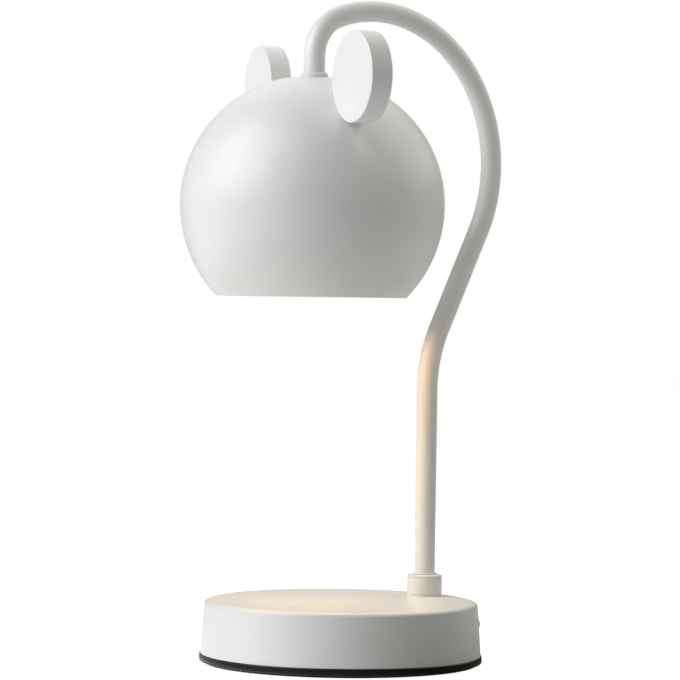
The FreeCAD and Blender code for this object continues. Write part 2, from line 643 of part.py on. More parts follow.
# ---------------------------------------------------------------- arm
def arm_tube():
    route = arm_route(TUBE_FOOT_Z, TUBE_END_Z)
    tube = pipe(route, TUBE_R)
    foot = COLLAR_TOP_Z + FACE_GAP
    middle = foot + BEAD_H / 2
    bead = lathe((0, foot), (BEAD_R - BEAD_H / 2, foot),
                 ((BEAD_R, middle), (BEAD_R - BEAD_H / 2, foot + BEAD_H)), (0, foot + BEAD_H))
    tube = tube.fuse(moved(bead, 0, COLUMN_Y, 0)).removeSplitter()
    tube = tube.cut(pipe(route, TUBE_BORE_R))
    groove = ring(TUBE_R + OVERCUT, TUBE_R - CLIP_GROOVE, CLIP_TOP_Z - CLIP_T - SEAT_GAP,
                  CLIP_TOP_Z + SEAT_GAP, 0, COLUMN_Y)
    screw_hole = rod(vec(0, COLUMN_Y - TUBE_R - OVERCUT, STOP_Z), vec(0, 1, 0), TUBE_WALL + 2 * OVERCUT,
                     STOP_SHANK_R + SEAT_GAP)
    return tube.cut(groove).cut(screw_hole)


def arm_lead():
    """Sheathed lead inside the arm, from below the column to below the neck."""
    return pipe(arm_route(TUBE_FOOT_Z - LEAD_TAIL, NIPPLE_END_Z - LEAD_TAIL), LEAD_R)


# ---------------------------------------------------------------- cord inlet
def along_gland(shape):
    """Lays a shape turned about Z down along the gland's axis, from the cover's wall out."""
    copy = shape.copy()
    copy.rotate(vec(0, 0, 0), vec(1, 0, 0), -90)
    copy.rotate(vec(0, 0, 0), Z_AXIS, GLAND_TURN_DEG)
    copy.translate(gland_line(cover_radius(GLAND_Z)))
    return copy


def cord_gland():
    """Moulded bush: threaded inside the wall, flange and short tapered nose outside."""
    inner_end = -COVER_WALL - GLAND_INNER_L
    flange = GLAND_FLANGE_T
    nose_end = flange + GLAND_NOSE_L
    bush = lathe(
        (GLAND_BORE_R, inner_end), (GLAND_NECK_R, inner_end),
        (GLAND_NECK_R, -GLAND_SADDLE), (GLAND_FLANGE_R, -GLAND_SADDLE),
        (GLAND_FLANGE_R, flange - GLAND_FLANGE_EDGE), (GLAND_FLANGE_R - GLAND_FLANGE_EDGE, flange),
        (GLAND_NOSE_R + GLAND_NOSE_TAPER, flange), (GLAND_NOSE_R, nose_end - GLAND_NOSE_EDGE),
        (GLAND_NOSE_R - GLAND_NOSE_EDGE / 2, nose_end), (GLAND_BORE_R, nose_end))
    cone = lathe((0, COVER_BOTTOM_Z), (COVER_BOTTOM_R + SEAT_GAP, COVER_BOTTOM_Z),
                 (COVER_TOP_R + SEAT_GAP, COVER_TOP_Z), (0, COVER_TOP_Z))
    neck = gland_rod(WEIGHT_R - GLAND_INNER_L, TRAY_R + OVERCUT, GLAND_NECK_R)
    return along_gland(bush).cut(cone.cut(neck)).removeSplitter()


def gland_nut():
    """Nut on the bush, set back to clear the hollow of the tapered wall."""
    slope = abs(COVER_TAPER) / COVER_H
    hollow = GLAND_NUT_R * (GLAND_NUT_R / (2 * COVER_TOP_R) + slope)
    outer = -COVER_WALL - hollow
    across_flats = 2 * GLAND_NUT_R * math.cos(math.radians(30))
    return along_gland(hexagon(across_flats, outer - GLAND_NUT_T, outer, GLAND_NECK_R + SEAT_GAP))


# ---------------------------------------------------------------- shade pieces
def globe(shape):
    """Places a shade piece, modelled about the globe's centre with the face towards -Y."""
    return moved(turned(shape, SHADE_TURN_DEG), 0, SHADE_Y, GLOBE_Z)


def ear_direction(side):
    """Unit vector from the globe's centre to an ear's."""
    tilt = math.radians(EAR_TILT_DEG)
    return vec(side * math.sin(tilt), 0, math.cos(tilt))


def arc_step(centre, radius, start, end):
    """Lathe step along an arc: the points at its middle and its end."""
    return tuple((centre[0] + radius * math.cos(a), centre[1] + radius * math.sin(a))
                 for a in ((start + end) / 2, end))


def globe_body(inset, bottom, top):
    """Solid inside the globe's outline, or inside one inset from it, between two heights.

    The lower half is part of a sphere. The upper half is two arcs that meet smoothly,
    the higher one about a point below the centre, so that the crown is a little sunken.
    """
    radius = SHADE_R - inset
    crown_r = CROWN_R - inset
    eighth = math.pi / 4
    return lathe(
        (0, bottom), (on_circle(radius, bottom), bottom),
        arc_step((0, 0), radius, math.asin(bottom / radius), 0),
        arc_step((CROWN_SHIFT, 0), radius - CROWN_SHIFT, 0, eighth),
        arc_step((0, -CROWN_SHIFT), crown_r, eighth, math.asin((top + CROWN_SHIFT) / crown_r)),
        (0, top))


def shade():
    rim = -SHADE_RIM_DROP
    flat = SHADE_FLAT_RISE
    shell = globe_body(0, rim, flat)
    corner = [e for e in shell.Edges
              if e.BoundBox.ZMin > flat - SEAT_GAP and e.Length > math.pi * SHADE_FLAT_R]
    shell = shell.makeFillet(SHADE_SHOULDER_R, corner)
    shell = shell.cut(globe_body(SHADE_WALL, rim - OVERCUT, flat - SHADE_WALL))
    cut_rim = [e for e in shell.Edges
               if e.BoundBox.ZMax < rim + SEAT_GAP and e.Length > math.pi * SHADE_MOUTH_R]
    shell = shell.makeFillet(SHADE_RIM_R, cut_rim)
    shell = shell.cut(disc(NIPPLE_R + RUN_GAP, flat - SHADE_WALL - OVERCUT, flat + OVERCUT))
    for side in (-1, 1):
        direction = ear_direction(side)
        start = SHADE_R - SHADE_SINK - SHADE_WALL - OVERCUT
        depth = SHADE_SINK + SHADE_WALL + 2 * OVERCUT
        hole = rod(direction * start, direction, depth, EAR_SCREW_R + HOLE_GAP)
        shell = shell.cut(hole)
    return globe(shell)


def ear(side):
    """Round flat ear with its edge hollowed to sit on the globe."""
    body = Part.makeCylinder(EAR_R, EAR_T, vec(0, EAR_BACK, 0), vec(0, -1, 0))
    body = body.makeFillet(EAR_EDGE_R, [e for e in body.Edges if e.Length > math.pi * EAR_R])
    body = turned(body, side * EAR_SPLAY_DEG)
    direction = ear_direction(side)
    body.translate(direction * EAR_DISTANCE)
    body = body.cut(globe_body(-SEAT_GAP, -OVERCUT, SHADE_FLAT_RISE))
    pilot_l = EAR_SCREW_GRIP + SHADE_SINK + 2 * OVERCUT
    start = direction * (SHADE_R - SHADE_SINK - OVERCUT)
    pilot = rod(start, direction, pilot_l, EAR_SCREW_R + SEAT_GAP)
    return globe(body.cut(pilot))


def ear_washer_seat():
    """Distance from the globe's centre where a flat washer's upper edge meets the hollow wall."""
    tilt = math.radians(EAR_TILT_DEG)
    reach = EAR_WASHER_R + CROWN_SHIFT * math.sin(tilt)
    return on_circle(CROWN_R - SHADE_WALL, reach) - CROWN_SHIFT * math.cos(tilt) - SEAT_GAP


def on_ear_line(side, distance, shape):
    """Places a shape turned about Z on the line through an ear, at a distance from the globe's centre."""
    direction = ear_direction(side)
    shape.Placement = FreeCAD.Placement(direction * distance, FreeCAD.Rotation(Z_AXIS, direction))
    return globe(shape)


def ear_screws():
    seat = ear_washer_seat() - EAR_WASHER_T
    length = SHADE_R + EAR_SCREW_GRIP - seat
    return Part.makeCompound(
        [on_ear_line(side, seat, pan_screw(EAR_SCREW_R, length, EAR_HEAD_R, EAR_HEAD_H)) for side in (-1, 1)])


def ear_washers():
    seat = ear_washer_seat()
    return Part.makeCompound(
        [on_ear_line(side, seat, ring(EAR_WASHER_R, EAR_SCREW_R + HOLE_GAP, -EAR_WASHER_T, 0))
         for side in (-1, 1)])


# ---------------------------------------------------------------- neck pieces
def on_shade_axis(shape):
    return moved(shape, 0, SHADE_Y, 0)


def neck_ferrule():
    z0 = FERRULE_Z
    z1 = z0 + FERRULE_H
    seat = z1 - FERRULE_SEAT
    return on_shade_axis(lathe(
        (NIPPLE_R + SEAT_GAP, z0), (FERRULE_R, z0), (FERRULE_R, z0 + FERRULE_BAND_H), (FERRULE_TOP_R, z1),
        (TUBE_R + SEAT_GAP, z1), (TUBE_R + SEAT_GAP, seat), (NIPPLE_R + SEAT_GAP, seat)))


def neck_washer():
    return ring(NECK_WASHER_R, NIPPLE_R + SEAT_GAP, FLAT_Z + FACE_GAP, FERRULE_Z, 0, SHADE_Y)


def neck_nipple():
    return ring(NIPPLE_R, NIPPLE_BORE_R, NIPPLE_END_Z, TUBE_END_Z + NIPPLE_GRIP, 0, SHADE_Y)


def friction_washer():
    z0 = BRACKET_TOP_Z
    return ring(FRICTION_WASHER_R, NIPPLE_R + SEAT_GAP, z0, z0 + FRICTION_WASHER_T, 0, SHADE_Y)


def neck_nut():
    nut = hexagon(NECK_NUT_AF, NECK_NUT_TOP_Z - NECK_NUT_T, NECK_NUT_TOP_Z, NIPPLE_R + SEAT_GAP)
    return on_shade_axis(nut)


# ---------------------------------------------------------------- lamp holder pieces
def holder_bracket():
    """Folded strap: a top plate on the nipple, two legs, and two tapped tabs."""
    outer = BRACKET_HALF
    inner = outer - BRACKET_T
    tab_end = outer - BRACKET_TAB
    z1 = BRACKET_TOP_Z
    z0 = HOLDER_TOP_Z
    profile = outline(
        (tab_end, z0), (outer, z0), (outer, z1), (-outer, z1), (-outer, z0), (-tab_end, z0),
        (-tab_end, z0 + BRACKET_T), (-inner, z0 + BRACKET_T), (-inner, z1 - BRACKET_T),
        (inner, z1 - BRACKET_T), (inner, z0 + BRACKET_T), (tab_end, z0 + BRACKET_T))
    strap = Part.Face(profile).extrude(vec(0, BRACKET_W, 0))
    strap.translate(vec(0, -BRACKET_W / 2, 0))
    bends = [e for e in strap.Edges if abs(e.Length - BRACKET_W) < SEAT_GAP
             and abs(abs(e.CenterOfMass.x) - outer) < SEAT_GAP]
    strap = strap.makeFillet(BRACKET_T, bends)
    strap = strap.cut(disc(NIPPLE_R + SEAT_GAP, z1 - BRACKET_T - OVERCUT, z1 + OVERCUT))
    tapped_r = HOLDER_SCREW_R + SEAT_GAP
    for side in (-1, 1):
        x = side * HOLDER_SCREW_X
        strap = strap.cut(disc(tapped_r, z0 - OVERCUT, z0 + BRACKET_T + OVERCUT, x, 0))
    return on_shade_axis(strap)


def keyhole(side):
    """Entry hole and curved slot for one pin of the bulb, through the holder's face."""
    z0 = HOLDER_FACE_Z - OVERCUT
    z1 = HOLDER_FACE_Z + HOLDER_FACE_T + OVERCUT
    slot_half = PIN_NECK_R + 2 * HOLE_GAP
    y = side * PIN_HALF_SPACING
    slot_end = disc(slot_half, z0, z1, 0, y)
    arc = ring(PIN_HALF_SPACING + slot_half, PIN_HALF_SPACING - slot_half, z0, z1)
    wedge_r = 3 * PIN_HALF_SPACING
    wedge = Part.makeCylinder(wedge_r, z1 - z0, vec(0, 0, z0), Z_AXIS, TWIST_DEG)
    wedge = turned(wedge, side * 90 - TWIST_DEG)
    entry = turned(disc(PIN_HEAD_R + 2 * HOLE_GAP, z0, z1, 0, y), -TWIST_DEG)
    return slot_end.fuse([arc.common(wedge), entry]).removeSplitter()


def lamp_holder():
    z0 = HOLDER_FACE_Z
    z1 = HOLDER_TOP_Z
    edge = HOLDER_EDGE
    body_r = HOLDER_R - HOLDER_WAIST
    skirt_z = z0 + HOLDER_SKIRT_H
    body = lathe((0, z0), (HOLDER_R - edge, z0), (HOLDER_R, z0 + edge), (HOLDER_R, skirt_z),
                 (body_r, skirt_z + HOLDER_WAIST), (body_r, z1 - edge), (body_r - edge, z1), (0, z1))
    roof = z0 + HOLDER_FACE_T + HOLDER_WELL_H
    body = body.cut(disc(HOLDER_WELL_R, z0 + HOLDER_FACE_T, roof))
    head_seat = z0 + HOLDER_HEAD_H + HOLDER_HEAD_SINK
    for side in (-1, 1):
        body = body.cut(keyhole(side))
        x = side * HOLDER_SCREW_X
        body = body.cut(disc(HOLDER_SCREW_R + HOLE_GAP, z0 - OVERCUT, z1 + OVERCUT, x, 0))
        body = body.cut(disc(HOLDER_HEAD_R + HOLE_GAP, z0 - OVERCUT, head_seat, x, 0))
        y = side * PIN_HALF_SPACING
        body = body.cut(disc(CORE_R + HOLE_GAP, roof - OVERCUT, z1 + OVERCUT, 0, y))
    return on_shade_axis(body)


def holder_screws():
    seat = HOLDER_FACE_Z + HOLDER_HEAD_H + HOLDER_HEAD_SINK
    length = HOLDER_TOP_Z + BRACKET_T + OVERCUT - seat
    screw = pan_screw(HOLDER_SCREW_R, length, HOLDER_HEAD_R, HOLDER_HEAD_H)
    screws = [on_shade_axis(moved(screw, side * HOLDER_SCREW_X, 0, seat)) for side in (-1, 1)]
    return Part.makeCompound(screws)


def holder_contacts():
    """Brass leaf springs that press on the heads of the pins."""
    roof = HOLDER_FACE_Z + HOLDER_FACE_T + HOLDER_WELL_H
    touch = BULB_TOP_Z + PIN_NECK_L + PIN_HEAD_L + CONTACT_GAP
    near = CONTACT_INNER
    far = PIN_HALF_SPACING + CONTACT_REACH
    half = CONTACT_W / 2
    leaves = []
    for turn in (0, 180):
        leaf = block(-half, half, near, far, touch, touch + CONTACT_T)
        riser = block(-half, half, near, near + CONTACT_T, touch, roof)
        leaves.append(on_shade_axis(turned(leaf.fuse(riser).removeSplitter(), turn)))
    return Part.makeCompound(leaves)


# ---------------------------------------------------------------- bulb pieces
def bulb_base():
    """Ceramic cap: round foot on the reflector, and two flats beside the pins."""
    z0 = REFLECTOR_TOP_Z
    z1 = BULB_TOP_Z
    foot_r = BULB_BASE_R + BULB_SKIRT
    slope_z = z0 + BULB_SKIRT_H
    edge = BULB_BASE_EDGE
    body = lathe((0, z0), (foot_r, z0), (foot_r, slope_z), (BULB_BASE_R, slope_z + BULB_SKIRT_SLOPE),
                 (BULB_BASE_R, z1 - edge), (BULB_BASE_R - edge, z1), (0, z1))
    cheek = PIN_HALF_SPACING + PIN_HEAD_R + BULB_CHEEK
    for turn in (0, 180):
        flat = block(cheek, 2 * cheek, -2 * cheek, 2 * cheek, slope_z + BULB_SKIRT_SLOPE, z1 + OVERCUT)
        body = body.cut(turned(flat, turn))
    body = body.cut(disc(CAPSULE_STEM_R, z0 - OVERCUT, z0 + CAPSULE_ROOT))
    for side in (-1, 1):
        y = side * PIN_HALF_SPACING
        body = body.cut(disc(PIN_NECK_R + SEAT_GAP, z1 - PIN_ROOT, z1 + OVERCUT, 0, y))
    return on_shade_axis(body)


def bulb_pins():
    root = BULB_TOP_Z - PIN_ROOT
    head = BULB_TOP_Z + PIN_NECK_L
    top = head + PIN_HEAD_L
    pin = lathe((0, root), (PIN_NECK_R, root), (PIN_NECK_R, head), (PIN_HEAD_R, head),
                (PIN_HEAD_R, top - PIN_EDGE), (PIN_HEAD_R - PIN_EDGE, top), (0, top))
    pins = [on_shade_axis(moved(pin, 0, side * PIN_HALF_SPACING, 0)) for side in (-1, 1)]
    return Part.makeCompound(pins)


def bulb_reflector():
    """Bowl of pressed glass, with the round lip that frames the lens."""
    z1 = REFLECTOR_TOP_Z - SEAT_GAP
    z0 = BULB_FACE_Z
    t = BULB_GLASS_T
    neck = BULB_BASE_R
    bowl_r = BULB_R - BULB_LIP_STEP
    lip = z0 + BULB_LIP_H
    mid_z = lip + BOWL_MID_HEIGHT * (z1 - lip)
    mid_r = neck + BOWL_MID_WIDTH * (bowl_r - neck)
    hole_r = CAPSULE_R + CAPSULE_GAP
    bowl = lathe(
        (hole_r, z1), (neck, z1), ((mid_r, mid_z), (bowl_r, lip)), (BULB_R, lip), (BULB_R, z0),
        (BULB_R - t, z0), (BULB_R - t, lip), (bowl_r - t, lip + t / 4),
        ((mid_r - t, mid_z), (neck - t, z1 - t)), (hole_r, z1 - t))
    return on_shade_axis(bowl)


def quarter(radius, pole_z):
    """Middle point of a quarter circle that rises from its pole on the axis."""
    return (radius * math.sqrt(0.5), pole_z + radius * (1 - math.sqrt(0.5)))


def bulb_capsule():
    """Small quartz capsule on the reflector's axis, on a slimmer stem."""
    r = CAPSULE_R
    stem = CAPSULE_STEM_R - SEAT_GAP
    root = REFLECTOR_TOP_Z + CAPSULE_ROOT
    neck = REFLECTOR_TOP_Z - CAPSULE_NECK
    shoulder = neck - CAPSULE_SHOULDER
    tip = REFLECTOR_TOP_Z - CAPSULE_L
    return on_shade_axis(lathe(
        (0, root), (stem, root), (stem, neck), (r, shoulder), (r, tip + r), (quarter(r, tip), (0, tip))))


def bulb_lens():
    """Front glass inside the lip, slightly domed, seated against the bowl."""
    z0 = BULB_FACE_Z + LENS_SINK
    z1 = z0 + BULB_LENS_T
    r = BULB_R - BULB_GLASS_T - SEAT_GAP
    dome = (r * r + LENS_DOME * LENS_DOME) / (2 * LENS_DOME)
    half_drop = dome - on_circle(dome, r / 2)
    centre_z = z0 - LENS_DOME
    return on_shade_axis(lathe(
        (0, z1), (r, z1), (r, z0), ((r / 2, centre_z + half_drop), (0, centre_z))))


# ---------------------------------------------------------------- wiring pieces
def terminal_poles():
    first = -(BLOCK_POLES - 1) / 2
    return [(first + i) * BLOCK_PITCH for i in range(BLOCK_POLES)]


def terminal_places():
    """Axes of the clamping screws: two on each pole."""
    return [(x, BLOCK_Y + dy) for x in terminal_poles() for dy in (-TERMINAL_SCREW_DY, TERMINAL_SCREW_DY)]


def terminal_block():
    """Moulded strip: a foot, a barrel for each pole, and a tower for each clamping screw."""
    z0 = WEIGHT_TOP_Z
    y0 = BLOCK_Y - BLOCK_L / 2
    half = BLOCK_PITCH / 2
    along = vec(0, 1, 0)
    poles = terminal_poles()
    body = block(poles[0] - half, poles[-1] + half, y0, POLE_MOUTH_Y, z0, z0 + BLOCK_FOOT_H)
    for x in poles:
        body = body.fuse(rod(vec(x, y0, POLE_Z), along, BLOCK_L, half - BLOCK_BARREL_INSET))
    for x, y in terminal_places():
        body = body.fuse(disc(BLOCK_TOWER_R, z0 + BLOCK_FOOT_H, z0 + BLOCK_H, x, y))
    for x in poles:
        body = body.cut(rod(vec(x, y0 - OVERCUT, POLE_Z), along, BLOCK_L + 2 * OVERCUT, BLOCK_BORE_R))
    for x, y in terminal_places():
        body = body.cut(disc(TERMINAL_SCREW_R + SEAT_GAP, POLE_Z, z0 + BLOCK_H + OVERCUT, x, y))
    body = body.cut(disc(BLOCK_SCREW_R + HOLE_GAP, z0 - OVERCUT, z0 + BLOCK_H, half, BLOCK_Y))
    head_room = disc(BLOCK_SCREW_HEAD_R + HOLE_GAP, z0 + BLOCK_FOOT_H - OVERCUT, z0 + BLOCK_H, half, BLOCK_Y)
    return body.cut(head_room).removeSplitter()


def block_screw():
    """Holds the block down on the weight, between two of its poles."""
    screw = pan_screw(BLOCK_SCREW_R, BLOCK_SCREW_L, BLOCK_SCREW_HEAD_R, BLOCK_SCREW_HEAD_H)
    screw.rotate(vec(0, 0, 0), vec(1, 0, 0), 180)
    return moved(screw, BLOCK_PITCH / 2, BLOCK_Y, WEIGHT_TOP_Z + BLOCK_FOOT_H - OVERCUT)


def terminal_screws():
    top = WEIGHT_TOP_Z + BLOCK_H - TERMINAL_SCREW_SINK
    half = TERMINAL_SLOT_W / 2
    screws = []
    for x, y in terminal_places():
        screw = disc(TERMINAL_SCREW_R, POLE_Z + TERMINAL_TIP, top, x, y)
        slot = block(x - BLOCK_TOWER_R, x + BLOCK_TOWER_R, y - half, y + half, top - TERMINAL_SLOT_D, top)
        screws.append(screw.cut(slot))
    return Part.makeCompound(screws)


def earth_tag():
    """Ring terminal under the earth screw, with its crimp barrel towards the block."""
    z0 = WEIGHT_TOP_Z
    z1 = z0 + EARTH_TAG_T
    half = EARTH_TAG_W / 2
    tongue_x = EARTH_X - EARTH_TAG_L
    tongue = block(tongue_x, EARTH_X, EARTH_Y - half, EARTH_Y + half, z0, z1)
    crimp_start = vec(tongue_x + EARTH_CRIMP_LAP - EARTH_CRIMP_L, EARTH_Y, z0 + EARTH_CRIMP_R)
    barrel = rod(crimp_start, vec(1, 0, 0), EARTH_CRIMP_L, EARTH_CRIMP_R)
    tag = disc(EARTH_TAG_R, z0, z1, EARTH_X, EARTH_Y).fuse([tongue, barrel])
    tag = tag.cut(rod(crimp_start, vec(1, 0, 0), EARTH_CRIMP_L, CORE_R + SEAT_GAP))
    tag = tag.cut(disc(EARTH_SCREW_R + HOLE_GAP, z0, z1 + OVERCUT, EARTH_X, EARTH_Y))
    return tag.removeSplitter()


def earth_screw():
    screw = pan_screw(EARTH_SCREW_R, EARTH_SCREW_L, EARTH_HEAD_R, EARTH_HEAD_H)
    screw.rotate(vec(0, 0, 0), vec(1, 0, 0), 180)
    return moved(screw, EARTH_X, EARTH_Y, WEIGHT_TOP_Z + EARTH_TAG_T)


def base_leads():
    """Two cores from the arm's lead, along the bay, up over the weight and into the block."""
    z0 = TUBE_FOOT_Z - LEAD_TAIL - STRIP_GAP
    z1 = z0 - CORE_DROP
    poles = terminal_poles()
    cores = []
    for side, x1 in ((-1, poles[0]), (1, poles[-1])):
        x0 = side * CORE_OFFSET
        route = [vec(x0, COLUMN_Y, z0), vec(x0, COLUMN_Y, z1), vec(2 * x0, COLUMN_Y - 2 * CORE_DROP, z1),
                 vec(0.6 * x1, BAY_Y + CORE_GRIP, POLE_Z - BLOCK_PITCH / 2),
                 vec(x1, (BAY_Y + POLE_MOUTH_Y + BLOCK_L / 2) / 2, POLE_Z),
                 vec(x1, POLE_MOUTH_Y - CORE_GRIP, POLE_Z)]
        cores.append(pipe(rounded_route(route), CORE_R))
    return Part.makeCompound(cores)


def earth_lead():
    """Core from the block's middle pole, round into the crimp of the earth tag."""
    y0 = POLE_MOUTH_Y - CORE_GRIP
    tag_z = WEIGHT_TOP_Z + EARTH_CRIMP_R
    end_x = EARTH_X - EARTH_TAG_L + EARTH_CRIMP_LAP - EARTH_CRIMP_L / 2
    route = [vec(0, y0, POLE_Z), vec(0, y0 + EARTH_LOOP, POLE_Z),
             vec(0.4 * end_x, EARTH_Y + EARTH_TAG_W / 2, tag_z + CORE_R / 2),
             vec(end_x - EARTH_CRIMP_L, EARTH_Y, tag_z), vec(end_x, EARTH_Y, tag_z)]
    return pipe(rounded_route(route), CORE_R)


def holder_leads():
    """Two cores from the end of the arm's lead into the back of the holder."""
    z0 = NIPPLE_END_Z - LEAD_TAIL - STRIP_GAP
    z1 = HOLDER_TOP_Z - HOLDER_H / 4
    cores = []
    for side in (-1, 1):
        y0 = SHADE_Y + side * CORE_OFFSET
        y1 = SHADE_Y + side * PIN_HALF_SPACING
        route = [vec(0, y0, z0), vec(0, y0, z0 - 3 * CORE_R), vec(0, y1, z0 - 7 * CORE_R), vec(0, y1, z1)]
        cores.append(pipe(rounded_route(route), CORE_R))
    return Part.makeCompound(cores)


PIECES = {
    "base_cover": base_cover,
    "bottom_tray": bottom_tray,
    "foot_pad": foot_pad,
    "counterweight": counterweight,
    "cover_posts": cover_posts,
    "tray_screws": tray_screws,
    "column_collar": column_collar,
    "collar_washer": collar_washer,
    "collar_nut": collar_nut,
    "cord_gland": cord_gland,
    "gland_nut": gland_nut,
    "terminal_block": terminal_block,
    "terminal_screws": terminal_screws,
    "block_screw": block_screw,
    "earth_tag": earth_tag,
    "earth_screw": earth_screw,
    "base_leads": base_leads,
    "earth_lead": earth_lead,
    "arm_tube": arm_tube,
    "stop_screw": stop_screw,
    "thrust_washer": thrust_washer,
    "arm_circlip": arm_circlip,
    "arm_lead": arm_lead,
    "neck_ferrule": neck_ferrule,
    "neck_washer": neck_washer,
    "neck_nipple": neck_nipple,
    "friction_washer": friction_washer,
    "neck_nut": neck_nut,
    "holder_bracket": holder_bracket,
    "lamp_holder": lamp_holder,
    "holder_screws": holder_screws,
    "holder_contacts": holder_contacts,
    "holder_leads": holder_leads,
    "shade": shade,
    "right_ear": lambda: ear(1),
    "left_ear": lambda: ear(-1),
    "ear_screws": ear_screws,
    "ear_washers": ear_washers,
    "bulb_base": bulb_base,
    "bulb_pins": bulb_pins,
    "bulb_reflector": bulb_reflector,
    "bulb_capsule": bulb_capsule,
    "bulb_lens": bulb_lens,
}

os.makedirs("parts", exist_ok=True)
for name, make in PIECES.items():
    make().exportStep("parts/" + name + ".step")
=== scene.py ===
"""Candle warmer lamp: finishes, fine pieces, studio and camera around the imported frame."""
import json
import math

import bmesh
import bpy
from mathutils import Matrix, Vector


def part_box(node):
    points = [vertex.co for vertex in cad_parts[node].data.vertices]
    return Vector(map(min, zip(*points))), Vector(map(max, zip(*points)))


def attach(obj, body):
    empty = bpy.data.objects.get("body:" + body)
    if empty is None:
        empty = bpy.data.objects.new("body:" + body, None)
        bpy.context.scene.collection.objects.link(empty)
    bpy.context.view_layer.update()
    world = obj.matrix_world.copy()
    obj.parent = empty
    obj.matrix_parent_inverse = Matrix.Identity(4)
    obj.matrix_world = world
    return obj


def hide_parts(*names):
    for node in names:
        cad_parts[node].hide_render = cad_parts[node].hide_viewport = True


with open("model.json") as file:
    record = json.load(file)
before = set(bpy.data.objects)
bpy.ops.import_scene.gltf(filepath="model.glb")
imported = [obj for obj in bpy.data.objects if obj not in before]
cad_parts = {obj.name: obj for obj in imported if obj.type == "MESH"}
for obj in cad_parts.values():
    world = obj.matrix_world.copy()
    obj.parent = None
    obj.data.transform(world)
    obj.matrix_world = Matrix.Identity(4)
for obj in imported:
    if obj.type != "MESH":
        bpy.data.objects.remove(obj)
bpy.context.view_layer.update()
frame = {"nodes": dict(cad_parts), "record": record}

# ------------------------------------------------------------------ camera
VIEW_TURN = math.radians(53.0)      # camera's bearing, from the front
VIEW_TILT = math.radians(0.84)      # looks down by this much
VIEW_ROLL = math.radians(0.78)
CAMERA_DISTANCE = 1.5953
CAMERA_HEIGHT = 0.1772
CAMERA_ASIDE = -0.0022
CAMERA_LENS = 36.0 * 3350.0 / 680.0

UP = Vector((0, 0, 1))
VIEW_DIRECTION = Vector((-math.sin(VIEW_TURN), math.cos(VIEW_TURN), 0))
VIEW_RIGHT = Vector((math.cos(VIEW_TURN), math.sin(VIEW_TURN), 0))


def place_camera():
    """Camera at the viewing angle, turned by hand because it rolls a little."""
    data = bpy.data.cameras.new("camera")
    data.sensor_width = 36.0
    data.lens = CAMERA_LENS
    data.clip_start = 0.05
    data.clip_end = 50.0
    camera = bpy.data.objects.new("camera", data)
    bpy.context.scene.collection.objects.link(camera)
    forward = VIEW_DIRECTION * math.cos(VIEW_TILT) - UP * math.sin(VIEW_TILT)
    above = VIEW_DIRECTION * math.sin(VIEW_TILT) + UP * math.cos(VIEW_TILT)
    across = VIEW_RIGHT * math.cos(VIEW_ROLL) + above * math.sin(VIEW_ROLL)
    upright = above * math.cos(VIEW_ROLL) - VIEW_RIGHT * math.sin(VIEW_ROLL)
    place = -VIEW_DIRECTION * CAMERA_DISTANCE + VIEW_RIGHT * CAMERA_ASIDE + UP * CAMERA_HEIGHT
    turn = Matrix((across, upright, -forward)).transposed().to_4x4()
    camera.matrix_world = Matrix.Translation(place) @ turn
    bpy.context.scene.camera = camera


# ------------------------------------------------------------------ node helpers
def new_material(name):
    """A material, its nodes and its links."""
    material = bpy.data.materials.new(name)
    material.use_nodes = True
    return material, material.node_tree.nodes, material.node_tree.links


def add(nodes, kind, **inputs):
    """A node with some inputs set; an underscore in a name stands for a space."""
    node = nodes.new(kind)
    for name, value in inputs.items():
        node.inputs[name.replace("_", " ")].default_value = value
    return node


def grain(nodes, links, scale, detail=2.0, roughness=0.5, stretch=None):
    """Noise on Object coordinates; scale is waves per metre."""
    noise = add(nodes, "ShaderNodeTexNoise", Scale=scale, Detail=detail, Roughness=roughness)
    place = nodes.new("ShaderNodeTexCoord")
    source = place.outputs["Object"]
    if stretch is not None:
        mapping = nodes.new("ShaderNodeMapping")
        mapping.inputs["Scale"].default_value = stretch
        links.new(source, mapping.inputs["Vector"])
        source = mapping.outputs["Vector"]
    links.new(source, noise.inputs["Vector"])
    return noise.outputs["Fac"]


def spread(nodes, links, source, low, high, start=0.3, stop=0.7):
    """Maps a 0 to 1 signal to a range of values."""
    node = add(nodes, "ShaderNodeMapRange")
    node.inputs["From Min"].default_value = start
    node.inputs["From Max"].default_value = stop
    node.inputs["To Min"].default_value = low
    node.inputs["To Max"].default_value = high
    links.new(source, node.inputs["Value"])
    return node.outputs["Result"]


def tint(nodes, links, source, dark, light, start=0.3, stop=0.7):
    """Colours between two tones by a signal."""
    ramp = nodes.new("ShaderNodeValToRGB")
    ramp.color_ramp.elements[0].position = start
    ramp.color_ramp.elements[0].color = (*dark, 1)
    ramp.color_ramp.elements[1].position = stop
    ramp.color_ramp.elements[1].color = (*light, 1)
    links.new(source, ramp.inputs["Fac"])
    return ramp.outputs["Color"]


def relief(nodes, links, heights, shader):
    """Chains bumps, each (signal, height in metres), into a shader's normal."""
    below = None
    for signal, height in heights:
        bump = add(nodes, "ShaderNodeBump", Distance=height, Strength=1.0)
        links.new(signal, bump.inputs["Height"])
        if below is not None:
            links.new(below, bump.inputs["Normal"])
        below = bump.outputs["Normal"]
    links.new(below, shader.inputs["Normal"])


